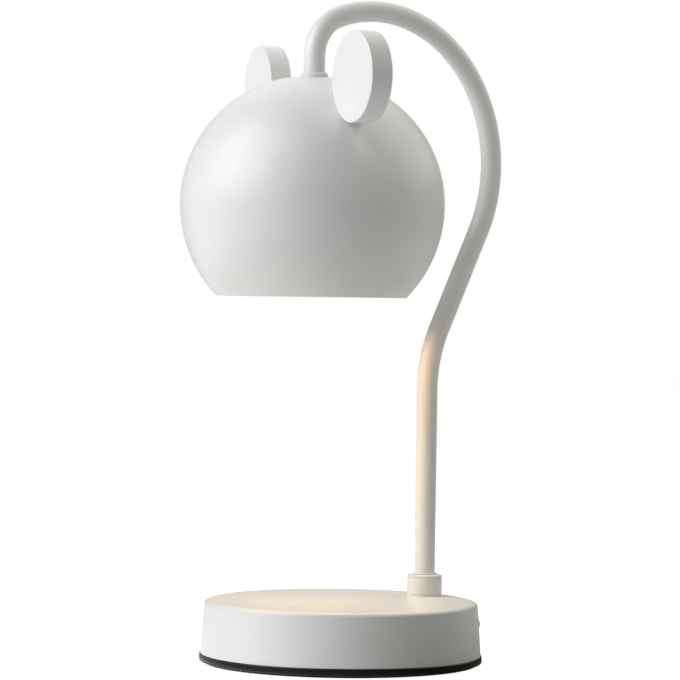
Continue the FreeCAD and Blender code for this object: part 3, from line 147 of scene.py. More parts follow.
def coated(name, dark, light, rough, metallic=0.0, patch=40.0, bumps=(), stretch=None, **fixed):
    """A surface whose tone and gloss drift over it, with layers of fine relief.

    rough is the range of roughness; bumps are (waves per metre, height in metres)."""
    material, nodes, links = new_material(name)
    shader = nodes["Principled BSDF"]
    shader.inputs["Metallic"].default_value = metallic
    for key, value in fixed.items():
        shader.inputs[key.replace("_", " ")].default_value = value
    drift = grain(nodes, links, patch, 3.0, stretch=stretch)
    links.new(tint(nodes, links, drift, dark, light), shader.inputs["Base Color"])
    wear = grain(nodes, links, patch * 7.0, 2.0, stretch=stretch)
    links.new(spread(nodes, links, wear, *rough), shader.inputs["Roughness"])
    layers = [(grain(nodes, links, scale, 2.0, stretch=stretch), height) for scale, height in bumps]
    if layers:
        relief(nodes, links, layers, shader)
    return material


def dress(node_name, material):
    """Gives a CAD node its finish."""
    node = frame["nodes"][node_name]
    node.data.materials.clear()
    node.data.materials.append(material)


# ------------------------------------------------------------------ finishes
def make_finishes():
    """Every finish, by the material slot of the CAD nodes that it dresses."""
    made = {}
    made["white_coat"] = coated(
        "satin_white_powder_coat", (0.80, 0.80, 0.785), (0.825, 0.825, 0.81), (0.36, 0.44),
        patch=22.0, bumps=((520.0, 0.000012), (1900.0, 0.000004)),
        Coat_Weight=0.12, Coat_Roughness=0.3)
    made["ear_white"] = coated(
        "satin_lacquered_wood", (0.83, 0.83, 0.82), (0.85, 0.85, 0.84), (0.40, 0.50), patch=60.0,
        bumps=((700.0, 0.000008),), stretch=(1.0, 1.0, 0.12))
    made["tray_black"] = coated(
        "satin_black_moulding", (0.0015, 0.0015, 0.0015), (0.003, 0.003, 0.0032), (0.26, 0.36),
        patch=90.0, bumps=((3200.0, 0.00001),), Specular_IOR_Level=0.32)
    made["pad_rubber"] = coated(
        "black_foot_rubber", (0.003, 0.003, 0.003), (0.006, 0.006, 0.0057), (0.78, 0.92),
        patch=120.0, bumps=((2600.0, 0.00003),), Specular_IOR_Level=0.2)
    made["gland_black"] = coated(
        "black_bush_nylon", (0.003, 0.003, 0.0032), (0.007, 0.007, 0.0073), (0.42, 0.55),
        patch=150.0, bumps=((2400.0, 0.00001),), Specular_IOR_Level=0.2)
    made["cast_weight"] = coated(
        "sand_cast_iron", (0.06, 0.058, 0.055), (0.11, 0.105, 0.10), (0.62, 0.82), 0.6, patch=45.0,
        bumps=((420.0, 0.0002), (1500.0, 0.00008)))
    made["zinc_steel"] = coated(
        "zinc_plated_steel", (0.50, 0.52, 0.55), (0.66, 0.67, 0.68), (0.26, 0.42), 1.0, patch=130.0,
        bumps=((1800.0, 0.00001),))
    made["spring_steel"] = coated(
        "phosphated_spring_steel", (0.07, 0.07, 0.075), (0.12, 0.12, 0.125), (0.38, 0.5), 0.85,
        patch=160.0, bumps=((2400.0, 0.00001),))
    made["tinned_brass"] = coated(
        "tinned_brass", (0.60, 0.56, 0.48), (0.72, 0.70, 0.66), (0.28, 0.40), 1.0, patch=200.0,
        bumps=((2600.0, 0.00001),))
    made["block_nylon"] = coated(
        "natural_nylon", (0.72, 0.71, 0.66), (0.78, 0.77, 0.73), (0.42, 0.55), patch=120.0,
        bumps=((1400.0, 0.00002),), Subsurface_Weight=0.2, Subsurface_Scale=0.002)
    made["lead_sheath"] = coated(
        "white_silicone_sheath", (0.74, 0.74, 0.72), (0.80, 0.80, 0.78), (0.5, 0.62), patch=90.0,
        bumps=((1200.0, 0.00002),))
    made["core_brown"] = coated(
        "brown_core_sleeve", (0.13, 0.055, 0.025), (0.17, 0.075, 0.035), (0.42, 0.55), patch=140.0,
        bumps=((1200.0, 0.00002),))
    made["core_green"] = coated(
        "earth_core_sleeve", (0.05, 0.26, 0.06), (0.62, 0.60, 0.05), (0.42, 0.55), patch=60.0,
        bumps=((1200.0, 0.00002),))
    made["holder_ceramic"] = coated(
        "unglazed_steatite", (0.70, 0.67, 0.60), (0.78, 0.76, 0.70), (0.55, 0.72), patch=70.0,
        bumps=((900.0, 0.00003), (4200.0, 0.00001)))
    made["bulb_cement"] = coated(
        "pressed_cap_ceramic", (0.74, 0.73, 0.70), (0.82, 0.81, 0.79), (0.45, 0.6), patch=80.0,
        bumps=((1100.0, 0.00002),))
    made["bulb_nickel"] = coated(
        "nickel_pins", (0.58, 0.56, 0.52), (0.68, 0.66, 0.62), (0.18, 0.3), 1.0, patch=220.0,
        bumps=((2400.0, 0.000006),))
    made["bulb_mirror"] = coated(
        "aluminised_bowl", (0.80, 0.80, 0.80), (0.88, 0.88, 0.87), (0.08, 0.16), 1.0, patch=120.0,
        bumps=((600.0, 0.00001),))
    made["bulb_quartz"] = coated(
        "quartz_capsule", (0.95, 0.95, 0.95), (0.99, 0.99, 0.99), (0.02, 0.06), patch=100.0,
        bumps=((300.0, 0.00001),), Transmission_Weight=1.0, IOR=1.46)
    made["bulb_glass"] = coated(
        "pressed_lens_glass", (0.96, 0.96, 0.95), (0.99, 0.99, 0.98), (0.10, 0.2), patch=120.0,
        bumps=((420.0, 0.00012),), Transmission_Weight=0.92, IOR=1.5,
        Emission_Color=(1.0, 0.70, 0.38, 1), Emission_Strength=0.2)
    made["filament"] = coated(
        "hot_tungsten", (0.25, 0.24, 0.22), (0.32, 0.30, 0.28), (0.4, 0.5), 1.0, patch=300.0,
        Emission_Color=(1.0, 0.62, 0.28, 1), Emission_Strength=9.0)
    return made


def mesh_object(name, mesh):
    """Puts a mesh into the scene."""
    piece = bpy.data.objects.new(name, mesh)
    bpy.context.scene.collection.objects.link(piece)
    return piece


# ------------------------------------------------------------------ making meshes
MM = 0.001
SOFT_EDGE = math.radians(32)        # edges flatter than this are shaded smooth
ON_AXIS = 1e-9                      # a profile point nearer the axis than this is a pole
WELD = 1e-7                         # points nearer than this, in metres, become one
SLIVER = 1e-8                       # edges shorter than this are dissolved


def rounded(corners, steps=5):
    """Closed profile of (radius, height) points in millimetres; a third number rounds a corner."""
    points = []
    count = len(corners)
    for i, corner in enumerate(corners):
        here = Vector(corner[:2])
        fillet = corner[2] if len(corner) > 2 else 0.0
        if fillet == 0.0:
            points.append(here)
            continue
        back = (Vector(corners[i - 1][:2]) - here).normalized()
        ahead = (Vector(corners[(i + 1) % count][:2]) - here).normalized()
        half = back.angle(ahead) / 2
        reach = fillet / math.tan(half)
        start, stop = here + back * reach, here + ahead * reach
        for k in range(steps + 1):
            share = k / steps
            # a quadratic drawn towards the corner; at these sizes it passes for an arc
            points.append(
                start * (1 - share) ** 2 + here * 2 * share * (1 - share) + stop * share ** 2)
    return points


def mark_edges(form):
    """Smooth shading, with sharp edges left sharp."""
    for face in form.faces:
        face.smooth = True
    for edge in form.edges:
        edge.smooth = len(edge.link_faces) != 2 or edge.calc_face_angle() < SOFT_EDGE


def lathe(profile, x=0.0, y=0.0, sides=128, form=None):
    """Turned closed shell about an upright axis, from a closed profile in millimetres."""
    form = form or bmesh.new()
    columns = []
    for side in range(sides):
        angle = 2 * math.pi * side / sides
        east, north = math.cos(angle), math.sin(angle)
        columns.append([
            form.verts.new(((x + p[0] * east) * MM, (y + p[0] * north) * MM, p[1] * MM))
            for p in profile])
    for side in range(sides):
        here, there = columns[side], columns[(side + 1) % sides]
        for k in range(len(profile)):
            after = (k + 1) % len(profile)
            if profile[k][0] < ON_AXIS and profile[after][0] < ON_AXIS:
                continue
            form.faces.new((here[k], there[k], there[after], here[after]))
    bmesh.ops.remove_doubles(form, verts=form.verts[:], dist=WELD)
    bmesh.ops.dissolve_degenerate(form, edges=form.edges[:], dist=SLIVER)
    bmesh.ops.recalc_face_normals(form, faces=form.faces[:])
    return form


def solid(name, form):
    """Finishes a form as an object at the origin."""
    mark_edges(form)
    mesh = bpy.data.meshes.new(name)
    form.to_mesh(mesh)
    form.free()
    return mesh_object(name, mesh)


def fit_out(piece, material, slot, body, *replaced):
    """Finish, body and the CAD nodes that the piece stands for."""
    piece.data.materials.clear()
    piece.data.materials.append(finishes[material])
    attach(piece, body)
    if replaced:
        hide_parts(*replaced)
    return piece


# ------------------------------------------------------------------ geometry-node trees
GOLDEN_TURN = 2.399963              # radians from one seed of a sunflower to the next
STUD_TAPER = 0.72                   # a stud's tip, as a share of its root
FACING_DOWN = -0.7                  # faces that look down at least this much are pressed


def new_tree(name, sizes):
    """A tree with its two ends, and an input for each size."""
    tree = bpy.data.node_groups.new(name, "GeometryNodeTree")
    tree.interface.new_socket("Geometry", in_out="INPUT", socket_type="NodeSocketGeometry")
    tree.interface.new_socket("Geometry", in_out="OUTPUT", socket_type="NodeSocketGeometry")
    for label, value in sizes.items():
        kind = "NodeSocketInt" if isinstance(value, int) else "NodeSocketFloat"
        tree.interface.new_socket(label, in_out="INPUT", socket_type=kind).default_value = value
    return tree, tree.nodes.new("NodeGroupInput"), tree.nodes.new("NodeGroupOutput")


def close_tree(tree, end, source, material):
    """Realize Instances and Set Material, at the end of every tree."""
    real = tree.nodes.new("GeometryNodeRealizeInstances")
    paint = tree.nodes.new("GeometryNodeSetMaterial")
    paint.inputs["Material"].default_value = material
    tree.links.new(source, real.inputs[0])
    tree.links.new(real.outputs[0], paint.inputs["Geometry"])
    tree.links.new(paint.outputs[0], end.inputs[0])


def grow(name, tree, sizes, seed=None):
    """Runs a tree on a seed mesh and keeps the result as a plain mesh."""
    piece = mesh_object(name, seed or bpy.data.meshes.new(name + "_seed"))
    modifier = piece.modifiers.new("grow", "NODES")
    modifier.node_group = tree
    for item in tree.interface.items_tree:
        if item.in_out == "INPUT" and item.name in sizes:
            modifier[item.identifier] = sizes[item.name]
    graph = bpy.context.evaluated_depsgraph_get()
    mesh = bpy.data.meshes.new_from_object(piece.evaluated_get(graph), depsgraph=graph)
    piece.modifiers.remove(modifier)
    piece.data = mesh
    mesh.name = name
    return piece


def math_node(tree, operation, a, b=None):
    """One sum in a tree, on numbers or on other nodes' results."""
    node = tree.nodes.new("ShaderNodeMath")
    node.operation = operation
    for socket, value in ((node.inputs[0], a), (node.inputs[1], b)):
        if value is None:
            continue
        if isinstance(value, (int, float)):
            socket.default_value = value
        else:
            tree.links.new(value, socket)
    return node.outputs[0]


def pipe_tree(material):
    """A round bar swept along the seed's line of edges."""
    tree, start, end = new_tree("swept_pipe", {"Radius": 5.0 * MM, "Sides": 48})
    line = tree.nodes.new("GeometryNodeMeshToCurve")
    section = tree.nodes.new("GeometryNodeCurvePrimitiveCircle")
    sweep = tree.nodes.new("GeometryNodeCurveToMesh")
    tree.links.new(start.outputs["Geometry"], line.inputs[0])
    tree.links.new(start.outputs["Radius"], section.inputs["Radius"])
    tree.links.new(start.outputs["Sides"], section.inputs["Resolution"])
    tree.links.new(line.outputs[0], sweep.inputs["Curve"])
    tree.links.new(section.outputs[0], sweep.inputs["Profile Curve"])
    close_tree(tree, end, sweep.outputs[0], material)
    return tree


def coil_tree(name, material):
    """A helical ridge: a screw thread, or a wound wire."""
    tree, start, end = new_tree(name, {
        "Radius": 4.0 * MM, "Length": 5.0 * MM, "Turns": 5.0,
        "Ridge": 0.3 * MM, "Sides": 4, "Steps": 36})
    helix = tree.nodes.new("GeometryNodeCurveSpiral")
    upright = tree.nodes.new("GeometryNodeSetCurveNormal")
    upright.mode = "Z_UP"
    section = tree.nodes.new("GeometryNodeCurvePrimitiveCircle")
    sweep = tree.nodes.new("GeometryNodeCurveToMesh")
    sweep.inputs["Fill Caps"].default_value = True
    tree.links.new(start.outputs["Steps"], helix.inputs["Resolution"])
    tree.links.new(start.outputs["Turns"], helix.inputs["Rotations"])
    tree.links.new(start.outputs["Radius"], helix.inputs["Start Radius"])
    tree.links.new(start.outputs["Radius"], helix.inputs["End Radius"])
    tree.links.new(start.outputs["Length"], helix.inputs["Height"])
    tree.links.new(helix.outputs[0], upright.inputs["Curve"])
    tree.links.new(start.outputs["Ridge"], section.inputs["Radius"])
    tree.links.new(start.outputs["Sides"], section.inputs["Resolution"])
    tree.links.new(upright.outputs[0], sweep.inputs["Curve"])
    tree.links.new(section.outputs[0], sweep.inputs["Profile Curve"])
    close_tree(tree, end, sweep.outputs[0], material)
    return tree


def sunflower_points(tree, start):
    """Evenly spread points over a disc, as seeds in a sunflower."""
    points = tree.nodes.new("GeometryNodePoints")
    index = tree.nodes.new("GeometryNodeInputIndex")
    tree.links.new(start.outputs["Count"], points.inputs["Count"])
    share = math_node(tree, "ADD", index.outputs[0], 0.5)
    share = math_node(tree, "DIVIDE", share, start.outputs["Count"])
    reach = math_node(tree, "SQRT", share)
    reach = math_node(tree, "MULTIPLY", reach, start.outputs["Disc Radius"])
    turn = math_node(tree, "MULTIPLY", index.outputs[0], GOLDEN_TURN)
    place = tree.nodes.new("ShaderNodeCombineXYZ")
    for axis, wave in (("X", "COSINE"), ("Y", "SINE")):
        side = math_node(tree, "MULTIPLY", reach, math_node(tree, wave, turn))
        tree.links.new(side, place.inputs[axis])
    tree.links.new(start.outputs["Height"], place.inputs["Z"])
    tree.links.new(place.outputs[0], points.inputs["Position"])
    return points


def stud_tree(material):
    """Low round studs spread over a disc."""
    tree, start, end = new_tree("sole_studs", {
        "Count": 600, "Disc Radius": 60.0 * MM, "Height": 0.0,
        "Stud Radius": 1.0 * MM, "Stud Height": 0.4 * MM, "Sides": 10})
    points = sunflower_points(tree, start)
    stud = tree.nodes.new("GeometryNodeMeshCone")
    narrow = math_node(tree, "MULTIPLY", start.outputs["Stud Radius"], STUD_TAPER)
    tree.links.new(start.outputs["Sides"], stud.inputs["Vertices"])
    tree.links.new(start.outputs["Stud Radius"], stud.inputs["Radius Top"])
    tree.links.new(narrow, stud.inputs["Radius Bottom"])
    tree.links.new(start.outputs["Stud Height"], stud.inputs["Depth"])
    spread_out = tree.nodes.new("GeometryNodeInstanceOnPoints")
    tree.links.new(points.outputs[0], spread_out.inputs["Points"])
    tree.links.new(stud.outputs["Mesh"], spread_out.inputs["Instance"])
    close_tree(tree, end, spread_out.outputs[0], material)
    return tree


def dimple_tree(material):
    """Presses round dimples into the faces of the seed that look down."""
    tree, start, end = new_tree("lens_dimples", {
        "Count": 240, "Disc Radius": 21.0 * MM, "Height": 0.0,
        "Reach": 1.3 * MM, "Depth": 0.35 * MM})
    points = sunflower_points(tree, start)
    near = tree.nodes.new("GeometryNodeProximity")
    near.target_element = "POINTS"
    where = tree.nodes.new("GeometryNodeInputPosition")
    parts = tree.nodes.new("ShaderNodeSeparateXYZ")
    level = tree.nodes.new("ShaderNodeCombineXYZ")
    tree.links.new(where.outputs[0], parts.inputs[0])
    tree.links.new(parts.outputs["X"], level.inputs["X"])
    tree.links.new(parts.outputs["Y"], level.inputs["Y"])
    tree.links.new(start.outputs["Height"], level.inputs["Z"])
    tree.links.new(points.outputs[0], near.inputs[0])
    tree.links.new(level.outputs[0], near.inputs["Sample Position"])
    share = math_node(tree, "DIVIDE", near.outputs["Distance"], start.outputs["Reach"])
    bowl = math_node(tree, "SUBTRACT", 1.0, math_node(tree, "MULTIPLY", share, share))
    bowl = math_node(tree, "MAXIMUM", bowl, 0.0)
    lift = math_node(tree, "MULTIPLY", bowl, start.outputs["Depth"])
    facing = tree.nodes.new("GeometryNodeInputNormal")
    down = tree.nodes.new("ShaderNodeSeparateXYZ")
    tree.links.new(facing.outputs[0], down.inputs[0])
    front = math_node(tree, "LESS_THAN", down.outputs["Z"], FACING_DOWN)
    move = tree.nodes.new("ShaderNodeCombineXYZ")
    tree.links.new(math_node(tree, "MULTIPLY", lift, front), move.inputs["Z"])
    press = tree.nodes.new("GeometryNodeSetPosition")
    tree.links.new(start.outputs["Geometry"], press.inputs["Geometry"])
    tree.links.new(move.outputs[0], press.inputs["Offset"])
    close_tree(tree, end, press.outputs[0], material)
    return tree


def flute_tree(material):
    """Small upright ribs round a circle."""
    tree, start, end = new_tree("grip_ribs", {
        "Count": 28, "Ring Radius": 4.6 * MM, "Rib Width": 0.35 * MM, "Rib Length": 1.0 * MM})
    ring = tree.nodes.new("GeometryNodeMeshCircle")
    rib = tree.nodes.new("GeometryNodeMeshCylinder")
    rib.inputs["Vertices"].default_value = 8
    place = tree.nodes.new("GeometryNodeInstanceOnPoints")
    tree.links.new(start.outputs["Count"], ring.inputs["Vertices"])
    tree.links.new(start.outputs["Ring Radius"], ring.inputs["Radius"])
    tree.links.new(start.outputs["Rib Width"], rib.inputs["Radius"])
    tree.links.new(start.outputs["Rib Length"], rib.inputs["Depth"])
    tree.links.new(ring.outputs[0], place.inputs["Points"])
    tree.links.new(rib.outputs["Mesh"], place.inputs["Instance"])
    close_tree(tree, end, place.outputs[0], material)
    return tree


# ------------------------------------------------------------------ sizes, in millimetres
COLUMN_Y = 50.6
SHADE_Y = -20.1
TUBE_R, TUBE_WALL = 5.0, 1.0
TUBE_SINK = 1.1                     # the tube ends this far inside the neck's ferrule
KNEE_Z, KNEE_R, LEAN, LEAN_RUN = 129.4, 68.5, math.radians(26.3), 53.5
BOW_R, CROOK_R = 71.6, 20.5
BEAD_ROOT_R, BEAD_R, BEAD_H, BEAD_ROUND, BEAD_GAP = 4.6, 6.0, 0.6, 0.28, 0.05
LINE_DEPTH = 0.35                   # of the lines turned into the collar
PAD_REST = 4.2                      # width of the ring that meets the table
PAD_STEP, PAD_HOLLOW = 0.4, 0.5     # run and height of the slope inside that ring
STUD_INSET = 6.0                    # no stud's middle is nearer the pad's edge than this
BUSH_BORE_R, BUSH_THREAD_R, BUSH_NOSE_R, BUSH_FLANGE_R = 2.75, 3.45, 3.75, 4.5
BUSH_TAPER = 0.055                  # of the nose, in radius for each millimetre out
BUSH_GROOVES = (2.2, 3.3, 4.4)      # where the nose's grooves start, from the wall
NIPPLE_BORE_R, NIPPLE_R, THREAD_END, PITCH = 2.75, 3.75, 0.6, 1.0
BOWL_NECK_R, BOWL_R, BOWL_WALL = 11.5, 24.0, 1.2
BOWL_CURVE = (1.75, 0.92)           # powers that shape the bowl between lip and neck
BOWL_LIP_R, BOWL_LIP_H, CAPSULE_HOLE_R = 25.0, 2.0, 4.7
FACET_ROWS, FACETS_ROUND, FACET_DEPTH = 8, 32, 0.22
FACET_START, FACET_STOP = 0.02, 0.94    # shares of the bowl's height that are faceted
LENS_DOME, LENS_BORDER = 0.6, 1.6
COIL_R, COIL_LENGTH, COIL_TURNS, WIRE_R, COIL_LIFT = 0.7, 5.0, 16.0, 0.12, 5.5
POSTS = ((0.5, 0.22, 10.3), (-1.3, 0.2, 5.2))     # x, radius, height of the tip in the capsule
POST_ROOT = 5.0                     # how far below the capsule's top the posts start


def between(start, stop, steps):
    """Evenly spaced points on a straight run, without its ends."""
    return [(start[0] + (stop[0] - start[0]) * k / steps,
             start[1] + (stop[1] - start[1]) * k / steps) for k in range(1, steps)]


def arc(middle, radius, start, stop, steps):
    """Evenly spaced points on an arc, with its ends."""
    angles = [start + (stop - start) * k / steps for k in range(steps + 1)]
    return [(middle[0] + radius * math.cos(a), middle[1] + radius * math.sin(a)) for a in angles]


def arm_points():
    """Centre line of the arm, from its foot in the base to its end above the shade."""
    foot = (COLUMN_Y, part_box("arm_tube")[0].z / MM)
    tip = (SHADE_Y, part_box("neck_ferrule")[1].z / MM - TUBE_SINK)
    knee = arc((COLUMN_Y + KNEE_R, KNEE_Z), KNEE_R, math.pi, math.pi - LEAN, 16)
    lean_end = (knee[-1][0] + LEAN_RUN * math.sin(LEAN), knee[-1][1] + LEAN_RUN * math.cos(LEAN))
    middle = (lean_end[0] - BOW_R * math.cos(LEAN), lean_end[1] + BOW_R * math.sin(LEAN))
    turn = math.acos((middle[0] - SHADE_Y - CROOK_R) / (BOW_R - CROOK_R))
    bow = arc(middle, BOW_R, -LEAN, math.pi - turn, 72)
    middle = (SHADE_Y + CROOK_R, middle[1] + (BOW_R - CROOK_R) * math.sin(turn))
    crook = arc(middle, CROOK_R, math.pi - turn, math.pi, 24)[1:]
    line = [foot] + between(foot, knee[0], 24) + knee + between(knee[-1], lean_end, 10)
    line += bow + crook + between(crook[-1], tip, 6) + [tip]
    return [Vector((0, y * MM, z * MM)) for y, z in line]


def arm_pipe():
    """The bent tube, hollow from end to end, with its swaged bead."""
    points = arm_points()
    seed = bpy.data.meshes.new("arm_pipe_line")
    seed.from_pydata(points, [(k, k + 1) for k in range(len(points) - 1)], [])
    sizes = {"Radius": TUBE_R * MM, "Sides": 64}
    skin = grow("arm_pipe", pipe_tree(finishes["white_coat"]), sizes, seed)
    form = bmesh.new()
    form.from_mesh(skin.data)
    bmesh.ops.recalc_face_normals(form, faces=form.faces[:])
    outside = Vector((0, (COLUMN_Y + TUBE_R) * MM, 0.1))
    near = min(form.faces, key=lambda face: (face.calc_center_median() - outside).length)
    if near.normal.y < 0:
        bmesh.ops.reverse_faces(form, faces=form.faces[:])
    form.to_mesh(skin.data)
    form.free()
    bake_modifier(skin, "SOLIDIFY", thickness=TUBE_WALL * MM, offset=-1.0)
    form = bmesh.new()
    form.from_mesh(skin.data)
    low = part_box("column_collar")[1].z / MM + BEAD_GAP
    high = low + BEAD_H
    bead = rounded([(BEAD_ROOT_R, low), (BEAD_R, low, BEAD_ROUND),
                    (BEAD_R, high, BEAD_ROUND), (BEAD_ROOT_R, high)], 6)
    lathe(bead, y=COLUMN_Y, sides=64, form=form)
    mark_edges(form)
    form.to_mesh(skin.data)
    form.free()
    return skin


def turned_collar():
    """Collar with a bevelled top, two fine turned lines, and its stub through the cover."""
    low, high = (corner.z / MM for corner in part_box("column_collar"))
    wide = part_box("column_collar")[1].x / MM
    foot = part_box("base_cover")[1].z / MM
    cut = wide - LINE_DEPTH
    profile = rounded([
        (5.05, high), (6.2, high, 0.15), (wide, high - 0.5, 0.2),
        (wide, high - 1.1), (cut, high - 1.28), (wide, high - 1.45),
        (wide, foot + 1.25), (cut, foot + 1.08), (wide, foot + 0.9),
        (wide, foot), (7.0, foot), (7.0, low, 0.3), (5.05, low)], 4)
    return solid("turned_collar", lathe(profile, y=COLUMN_Y))


def neck_ring():
    """Ferrule with a rounded band, round the end of the tube."""
    low, high = (corner.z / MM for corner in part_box("neck_ferrule"))
    seat = high - TUBE_SINK
    profile = rounded([
        (4.0, low), (6.5, low, 0.15), (6.5, low + 1.2, 0.2), (5.7, high, 0.15),
        (5.02, high), (5.02, seat), (4.0, seat)], 4)
    return solid("neck_ring", lathe(profile, y=SHADE_Y))


def bake_modifier(piece, kind, **settings):
    """Adds one modifier and keeps its result as a plain mesh."""
    modifier = piece.modifiers.new(kind.lower(), kind)
    for key, value in settings.items():
        setattr(modifier, key, value)
    graph = bpy.context.evaluated_depsgraph_get()
    mesh = bpy.data.meshes.new_from_object(piece.evaluated_get(graph), depsgraph=graph)
    piece.modifiers.remove(modifier)
    piece.data = mesh


def join_meshes(name, *pieces):
    """One object from several, each already in place."""
    form = bmesh.new()
    for piece in pieces:
        form.from_mesh(piece.data)
        bpy.data.objects.remove(piece)
    return solid(name, form)


def foot_tread():
    """Rubber pad: a flat outer ring that meets the table, and low studs inside it."""
    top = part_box("foot_pad")[1].z / MM
    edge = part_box("foot_pad")[1].x / MM
    inner = edge - PAD_REST
    profile = rounded([
        (0, PAD_HOLLOW), (inner - PAD_STEP, PAD_HOLLOW), (inner, 0, 0.15),
        (edge, 0, 0.55), (edge, top), (0, top)])
    body = solid("foot_body", lathe(profile, sides=160))
    studs = grow("foot_studs", stud_tree(finishes["pad_rubber"]), {
        "Count": 620, "Disc Radius": (edge - STUD_INSET) * MM, "Height": 0.0,
        "Stud Radius": 1.25 * MM, "Stud Height": 0.6 * MM, "Sides": 10})
    low = min(v.co.z for v in studs.data.vertices)
    studs.data.transform(Matrix.Translation((0, 0, -low)))
    return join_meshes("foot_tread", body, studs)


def inlet_frame():
    """Turns a shape made about +Z to lie along the cord inlet, from the cover's wall outwards."""
    mount = next(m for m in frame["record"]["mounts"] if m["name"] == "cord_inlet")
    along = Vector(mount["axis"]).normalized()
    wall = Vector(mount["pos_m"]) - along * 0.1 * MM
    turn = Vector((0, 0, 1)).rotation_difference(along).to_matrix().to_4x4()
    return Matrix.Translation(wall) @ turn


def inlet_bush():
    """Moulded cord bush: ribbed nose, fluted flange and threaded shank."""
    profile = [
        (BUSH_BORE_R, -6.2), (BUSH_THREAD_R, -6.2), (BUSH_THREAD_R, -0.4),
        (BUSH_FLANGE_R, -0.4), (BUSH_FLANGE_R, 1.25, 0.2), (4.2, 1.6, 0.15), (BUSH_NOSE_R, 1.6)]
    for start in BUSH_GROOVES:
        wide = BUSH_NOSE_R - BUSH_TAPER * start
        profile += [(wide, start), (wide - 0.4, start + 0.1),
                    (wide - 0.4, start + 0.6), (wide, start + 0.7)]
    profile += [(3.4, 6.1, 0.3), (3.15, 6.4, 0.1), (BUSH_BORE_R, 6.4)]
    body = solid("bush_body", lathe(rounded(profile, 3), sides=72))
    ribs = grow("bush_ribs", flute_tree(finishes["gland_black"]), {
        "Count": 30, "Ring Radius": 4.42 * MM, "Rib Width": 0.2 * MM, "Rib Length": 1.2 * MM})
    ribs.data.transform(Matrix.Translation((0, 0, 0.55 * MM)))
    thread = grow("bush_thread", coil_tree("bush_thread", finishes["gland_black"]), {
        "Radius": 3.42 * MM, "Length": 5.0 * MM, "Turns": 5.0, "Ridge": 0.25 * MM})
    thread.data.transform(Matrix.Translation((0, 0, -6.0 * MM)))
    bush = join_meshes("inlet_bush", body, ribs, thread)
    bush.data.transform(inlet_frame())
    return bush


def nipple_thread():
    """Threaded hollow tube that holds the shade, the bracket and the neck together."""
    low, high = (corner.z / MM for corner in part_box("neck_nipple"))
    profile = rounded([
        (NIPPLE_BORE_R, low, 0.1), (NIPPLE_R, low, 0.2),
        (NIPPLE_R, high, 0.2), (NIPPLE_BORE_R, high, 0.1)], 3)
    body = solid("nipple_body", lathe(profile, y=SHADE_Y, sides=64))
    length = high - low - 2 * THREAD_END
    thread = grow("nipple_ridge", coil_tree("nipple_thread", finishes["zinc_steel"]), {
        "Radius": (NIPPLE_R - 0.01) * MM, "Length": length * MM, "Turns": length / PITCH,
        "Ridge": 0.22 * MM, "Steps": 40})
    thread.data.transform(Matrix.Translation((0, SHADE_Y * MM, (low + THREAD_END) * MM)))
    return join_meshes("nipple_thread", body, thread)


def bowl_radius(share):
    """Outside radius of the reflector's bowl, from its lip (0) to its neck (1)."""
    bend, ease = BOWL_CURVE
    return BOWL_NECK_R + (BOWL_R - BOWL_NECK_R) * (1 - share ** bend) ** ease


def facet_dish(share, angle):
    """How far the bowl's inside stands in or out, in rows of facets that are set half a step."""
    row = share * FACET_ROWS
    turn = angle / (2 * math.pi) * FACETS_ROUND + 0.5 * math.floor(row)
    return FACET_DEPTH * (math.cos(2 * math.pi * turn) + math.cos(2 * math.pi * row)) / 2


def reflector_bowl():
    """Pressed glass bowl, faceted and mirrored inside, with the lip that frames the lens."""
    low, high = (corner.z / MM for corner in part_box("bulb_reflector"))
    lip = low + BOWL_LIP_H
    rim = BOWL_LIP_R - BOWL_WALL
    outer = [(bowl_radius(k / 24), lip + (high - lip) * k / 24) for k in range(25)]
    profile = [Vector((CAPSULE_HOLE_R, high - BOWL_WALL)), Vector((CAPSULE_HOLE_R, high))]
    profile += [Vector(p) for p in reversed(outer)]
    profile += rounded([
        (BOWL_R, lip), (BOWL_LIP_R, lip, 0.3), (BOWL_LIP_R, low, 0.4),
        (rim, low, 0.2), (rim, lip)], 3)[1:]
    profile += [Vector((max(CAPSULE_HOLE_R, r - BOWL_WALL), z))
                for r, z in outer if lip < z < high - BOWL_WALL]
    form = lathe(profile, y=SHADE_Y, sides=96)
    for vert in form.verts:
        x, y, z = vert.co.x / MM, vert.co.y / MM - SHADE_Y, vert.co.z / MM
        r = math.hypot(x, y)
        share = (z - lip) / (high - lip)
        if not FACET_START < share < FACET_STOP:
            continue
        if r > bowl_radius(share) - BOWL_WALL * 0.6:      # the outside stays smooth
            continue
        scale = 1 - facet_dish(share, math.atan2(y, x)) / r
        vert.co.x *= scale
        vert.co.y = (SHADE_Y + y * scale) * MM
    return solid("reflector_bowl", form)


def lens_glass():
    """Pressed front glass, gently domed, with round dimples over its face."""
    low, high = (corner.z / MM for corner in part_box("bulb_lens"))
    wide = (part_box("bulb_lens")[1].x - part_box("bulb_lens")[0].x) / 2 / MM
    rim = low + LENS_DOME
    steps = 60
    face = [Vector((wide * k / steps, low + LENS_DOME * (k / steps) ** 2)) for k in range(steps)]
    edge = rounded([(0, low), (wide, rim, 0.3), (wide, high, 0.3), (0, high)], 3)[1:]
    blank = solid("lens_blank", lathe(face + edge, sides=240))
    mesh = blank.data
    bpy.data.objects.remove(blank)
    sizes = {"Count": 260, "Disc Radius": (wide - LENS_BORDER) * MM, "Height": 0.0,
             "Reach": 1.25 * MM, "Depth": 0.35 * MM}
    lens = grow("lens_glass", dimple_tree(finishes["bulb_glass"]), sizes, mesh)
    lens.data.transform(Matrix.Translation((0, SHADE_Y * MM, 0)))
    return lens


